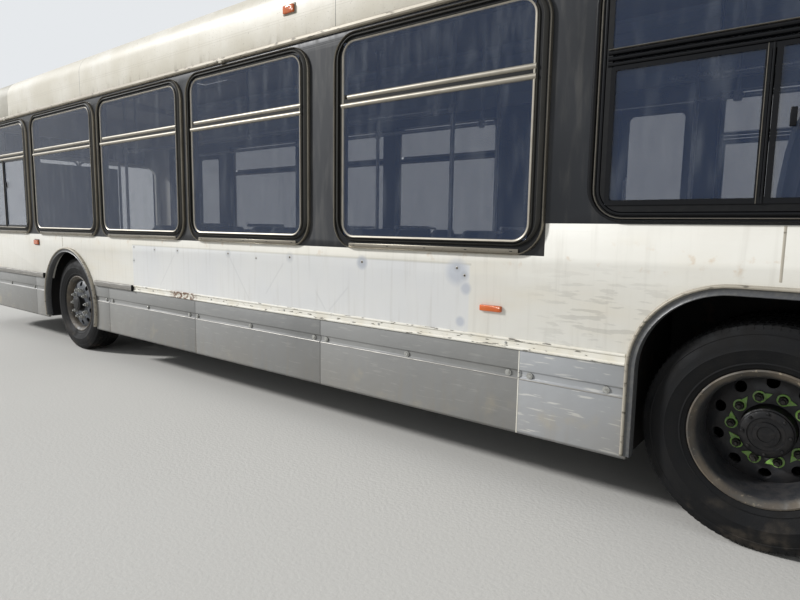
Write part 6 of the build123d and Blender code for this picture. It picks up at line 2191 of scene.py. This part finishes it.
# The driver's cushions: outlines along X and Z
SEAT_CUSHION = [(4.745, 0.885), (4.765, 0.945), (4.4, 0.93), (4.33, 0.885)]
BACK_CUSHION = [(4.375, 0.95), (4.315, 1.56), (4.262, 1.575), (4.302, 0.95)]
# Underbody pieces that keep the frame's shape, all in chassis black: node, record slot, edge radius
UNDERBODY = [
    ("underframe", "chassis_steel", 0.004), ("wheel_housings", "chassis_steel", 0.004),
    ("front_axle", "chassis_steel", 0.01), ("rear_axle", "chassis_steel", 0.01), ("engine", "cast_steel", 0.015),
]
# The engine's pulleys: place across, height and radius
PULLEYS = [(0.0, 0.72, 0.1), (-0.18, 0.93, 0.07), (0.19, 0.9, 0.06)]
# Places along X of the bolts through the underframe's side members
FRAME_BOLTS_X = [3.7 + 0.45 * i for i in range(4)] + [-1.7 + 0.6 * i for i in range(8)]


class BUS_OT_underbody(bpy.types.Operator):
    """Finishes the underframe, the axles, the air springs, the knuckles and the engine"""

    bl_idname = "bus.underbody"
    bl_label = "Underbody"

    def execute(self, context):
        for node, record_slot, bevel in UNDERBODY:
            piece = dressed(node, chassis_black, bevel)
            if node == "engine":
                self.engine_details(piece)
            if node == "underframe":
                points = [(x, side * 0.4601, z) for side in (1, -1) for x in FRAME_BOLTS_X for z in (0.225, 0.268)]
                bolts_at(piece, points, zinc_fastener_steel, 0.01, 0.015, 0.01)
            piece.done(record_slot, node)
        springs = Piece("air_spring_bellows")
        for box in islands("air_springs"):
            radius, height = (box.high.x - box.low.x) / 2, box.high.z - box.low.z
            rows = [(0.7, 0.0), (0.96, 0.0), (0.96, 0.05), (0.78, 0.07)]
            for fold in range(3):
                rows += [(0.8 + 0.2 * sin(pi * i / 6), 0.08 + 0.28 * (fold + i / 6)) for i in range(7)]
            rows += [(0.78, 0.93), (0.97, 0.95), (0.97, 1.0), (0.7, 1.0)]
            profile = [(radius * share, height * up) for share, up in rows]
            springs.lathe(profile, (*box.middle.xy, box.low.z), glazing_rubber, 36, "Z")
        springs.done("spring_rubber", "air_springs")
        for node in ("knuckle_left", "knuckle_right"):
            dressed(node, chassis_black, 0.006).done("chassis_steel", node, body=node)
        return {"FINISHED"}

    def engine_details(self, piece):
        """The engine's rocker cover, sump ribs and pulleys."""
        low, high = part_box("engine")
        piece.block((-5.55, -0.16, high.z - 0.01), (-4.98, 0.16, high.z + 0.004), black_hub_casting, 0.003)
        rib = Piece("rib")
        rib.block((-5.6, -0.326, 0.6), (-5.585, 0.326, 1.02), chassis_black, 0.003)
        piece.repeat(row_tree(), rib, chassis_black, Count=7, Step=(0.1, 0, 0))
        for y, z, radius in PULLEYS:
            pulley = [(radius, 0), (radius, 0.008), (radius - 0.01, 0.014), (radius, 0.02), (radius, 0.028)]
            profile = [(r, -0.002 - p) for r, p in [*pulley, (0.02, 0.03)]]
            piece.lathe(profile, (low.x, y, z), black_hub_casting, 32, "X")


OPERATORS = [
    BUS_OT_stage,
    BUS_OT_bodywork,
    BUS_OT_panel_marks,
    BUS_OT_window_frames,
    BUS_OT_glazing,
    BUS_OT_side_rails,
    BUS_OT_skirt_bolts,
    BUS_OT_tyres,
    BUS_OT_rims,
    BUS_OT_lamps,
    BUS_OT_front_end,
    BUS_OT_rear_end,
    BUS_OT_doors,
    BUS_OT_roof_fittings,
    BUS_OT_cabin,
    BUS_OT_underbody,
]


class BUS_PT_panel(bpy.types.Panel):
    """The bus's pieces, one button each"""

    bl_idname = "BUS_PT_panel"
    bl_label = "City bus"
    bl_space_type = "VIEW_3D"
    bl_region_type = "UI"
    bl_category = "City bus"

    def draw(self, context):
        for group in (context.scene.bus_paint, context.scene.bus_sizes, context.scene.bus_stage):
            box = self.layout.box()
            for name in group.__annotations__:
                box.prop(group, name)
        for operator in OPERATORS:
            self.layout.operator(operator.bl_idname)


CLASSES = [BusPaint, BusSizes, BusStage, *OPERATORS, BUS_PT_panel]


def register():
    for entry in CLASSES:
        bpy.utils.register_class(entry)
    bpy.types.Scene.bus_paint = bpy.props.PointerProperty(type=BusPaint)
    bpy.types.Scene.bus_sizes = bpy.props.PointerProperty(type=BusSizes)
    bpy.types.Scene.bus_stage = bpy.props.PointerProperty(type=BusStage)


def unregister():
    del bpy.types.Scene.bus_stage
    del bpy.types.Scene.bus_sizes
    del bpy.types.Scene.bus_paint
    for entry in reversed(CLASSES):
        bpy.utils.unregister_class(entry)


def run(name):
    """Runs an operator by its name and stops the script if it fails."""
    group, call = name.split(".")
    if getattr(getattr(bpy.ops, group), call)() != {"FINISHED"}:
        raise RuntimeError(name + " did not finish")


def main():
    register()
    for operator in OPERATORS:
        run(operator.bl_idname)


if __name__ == "__main__":
    main()
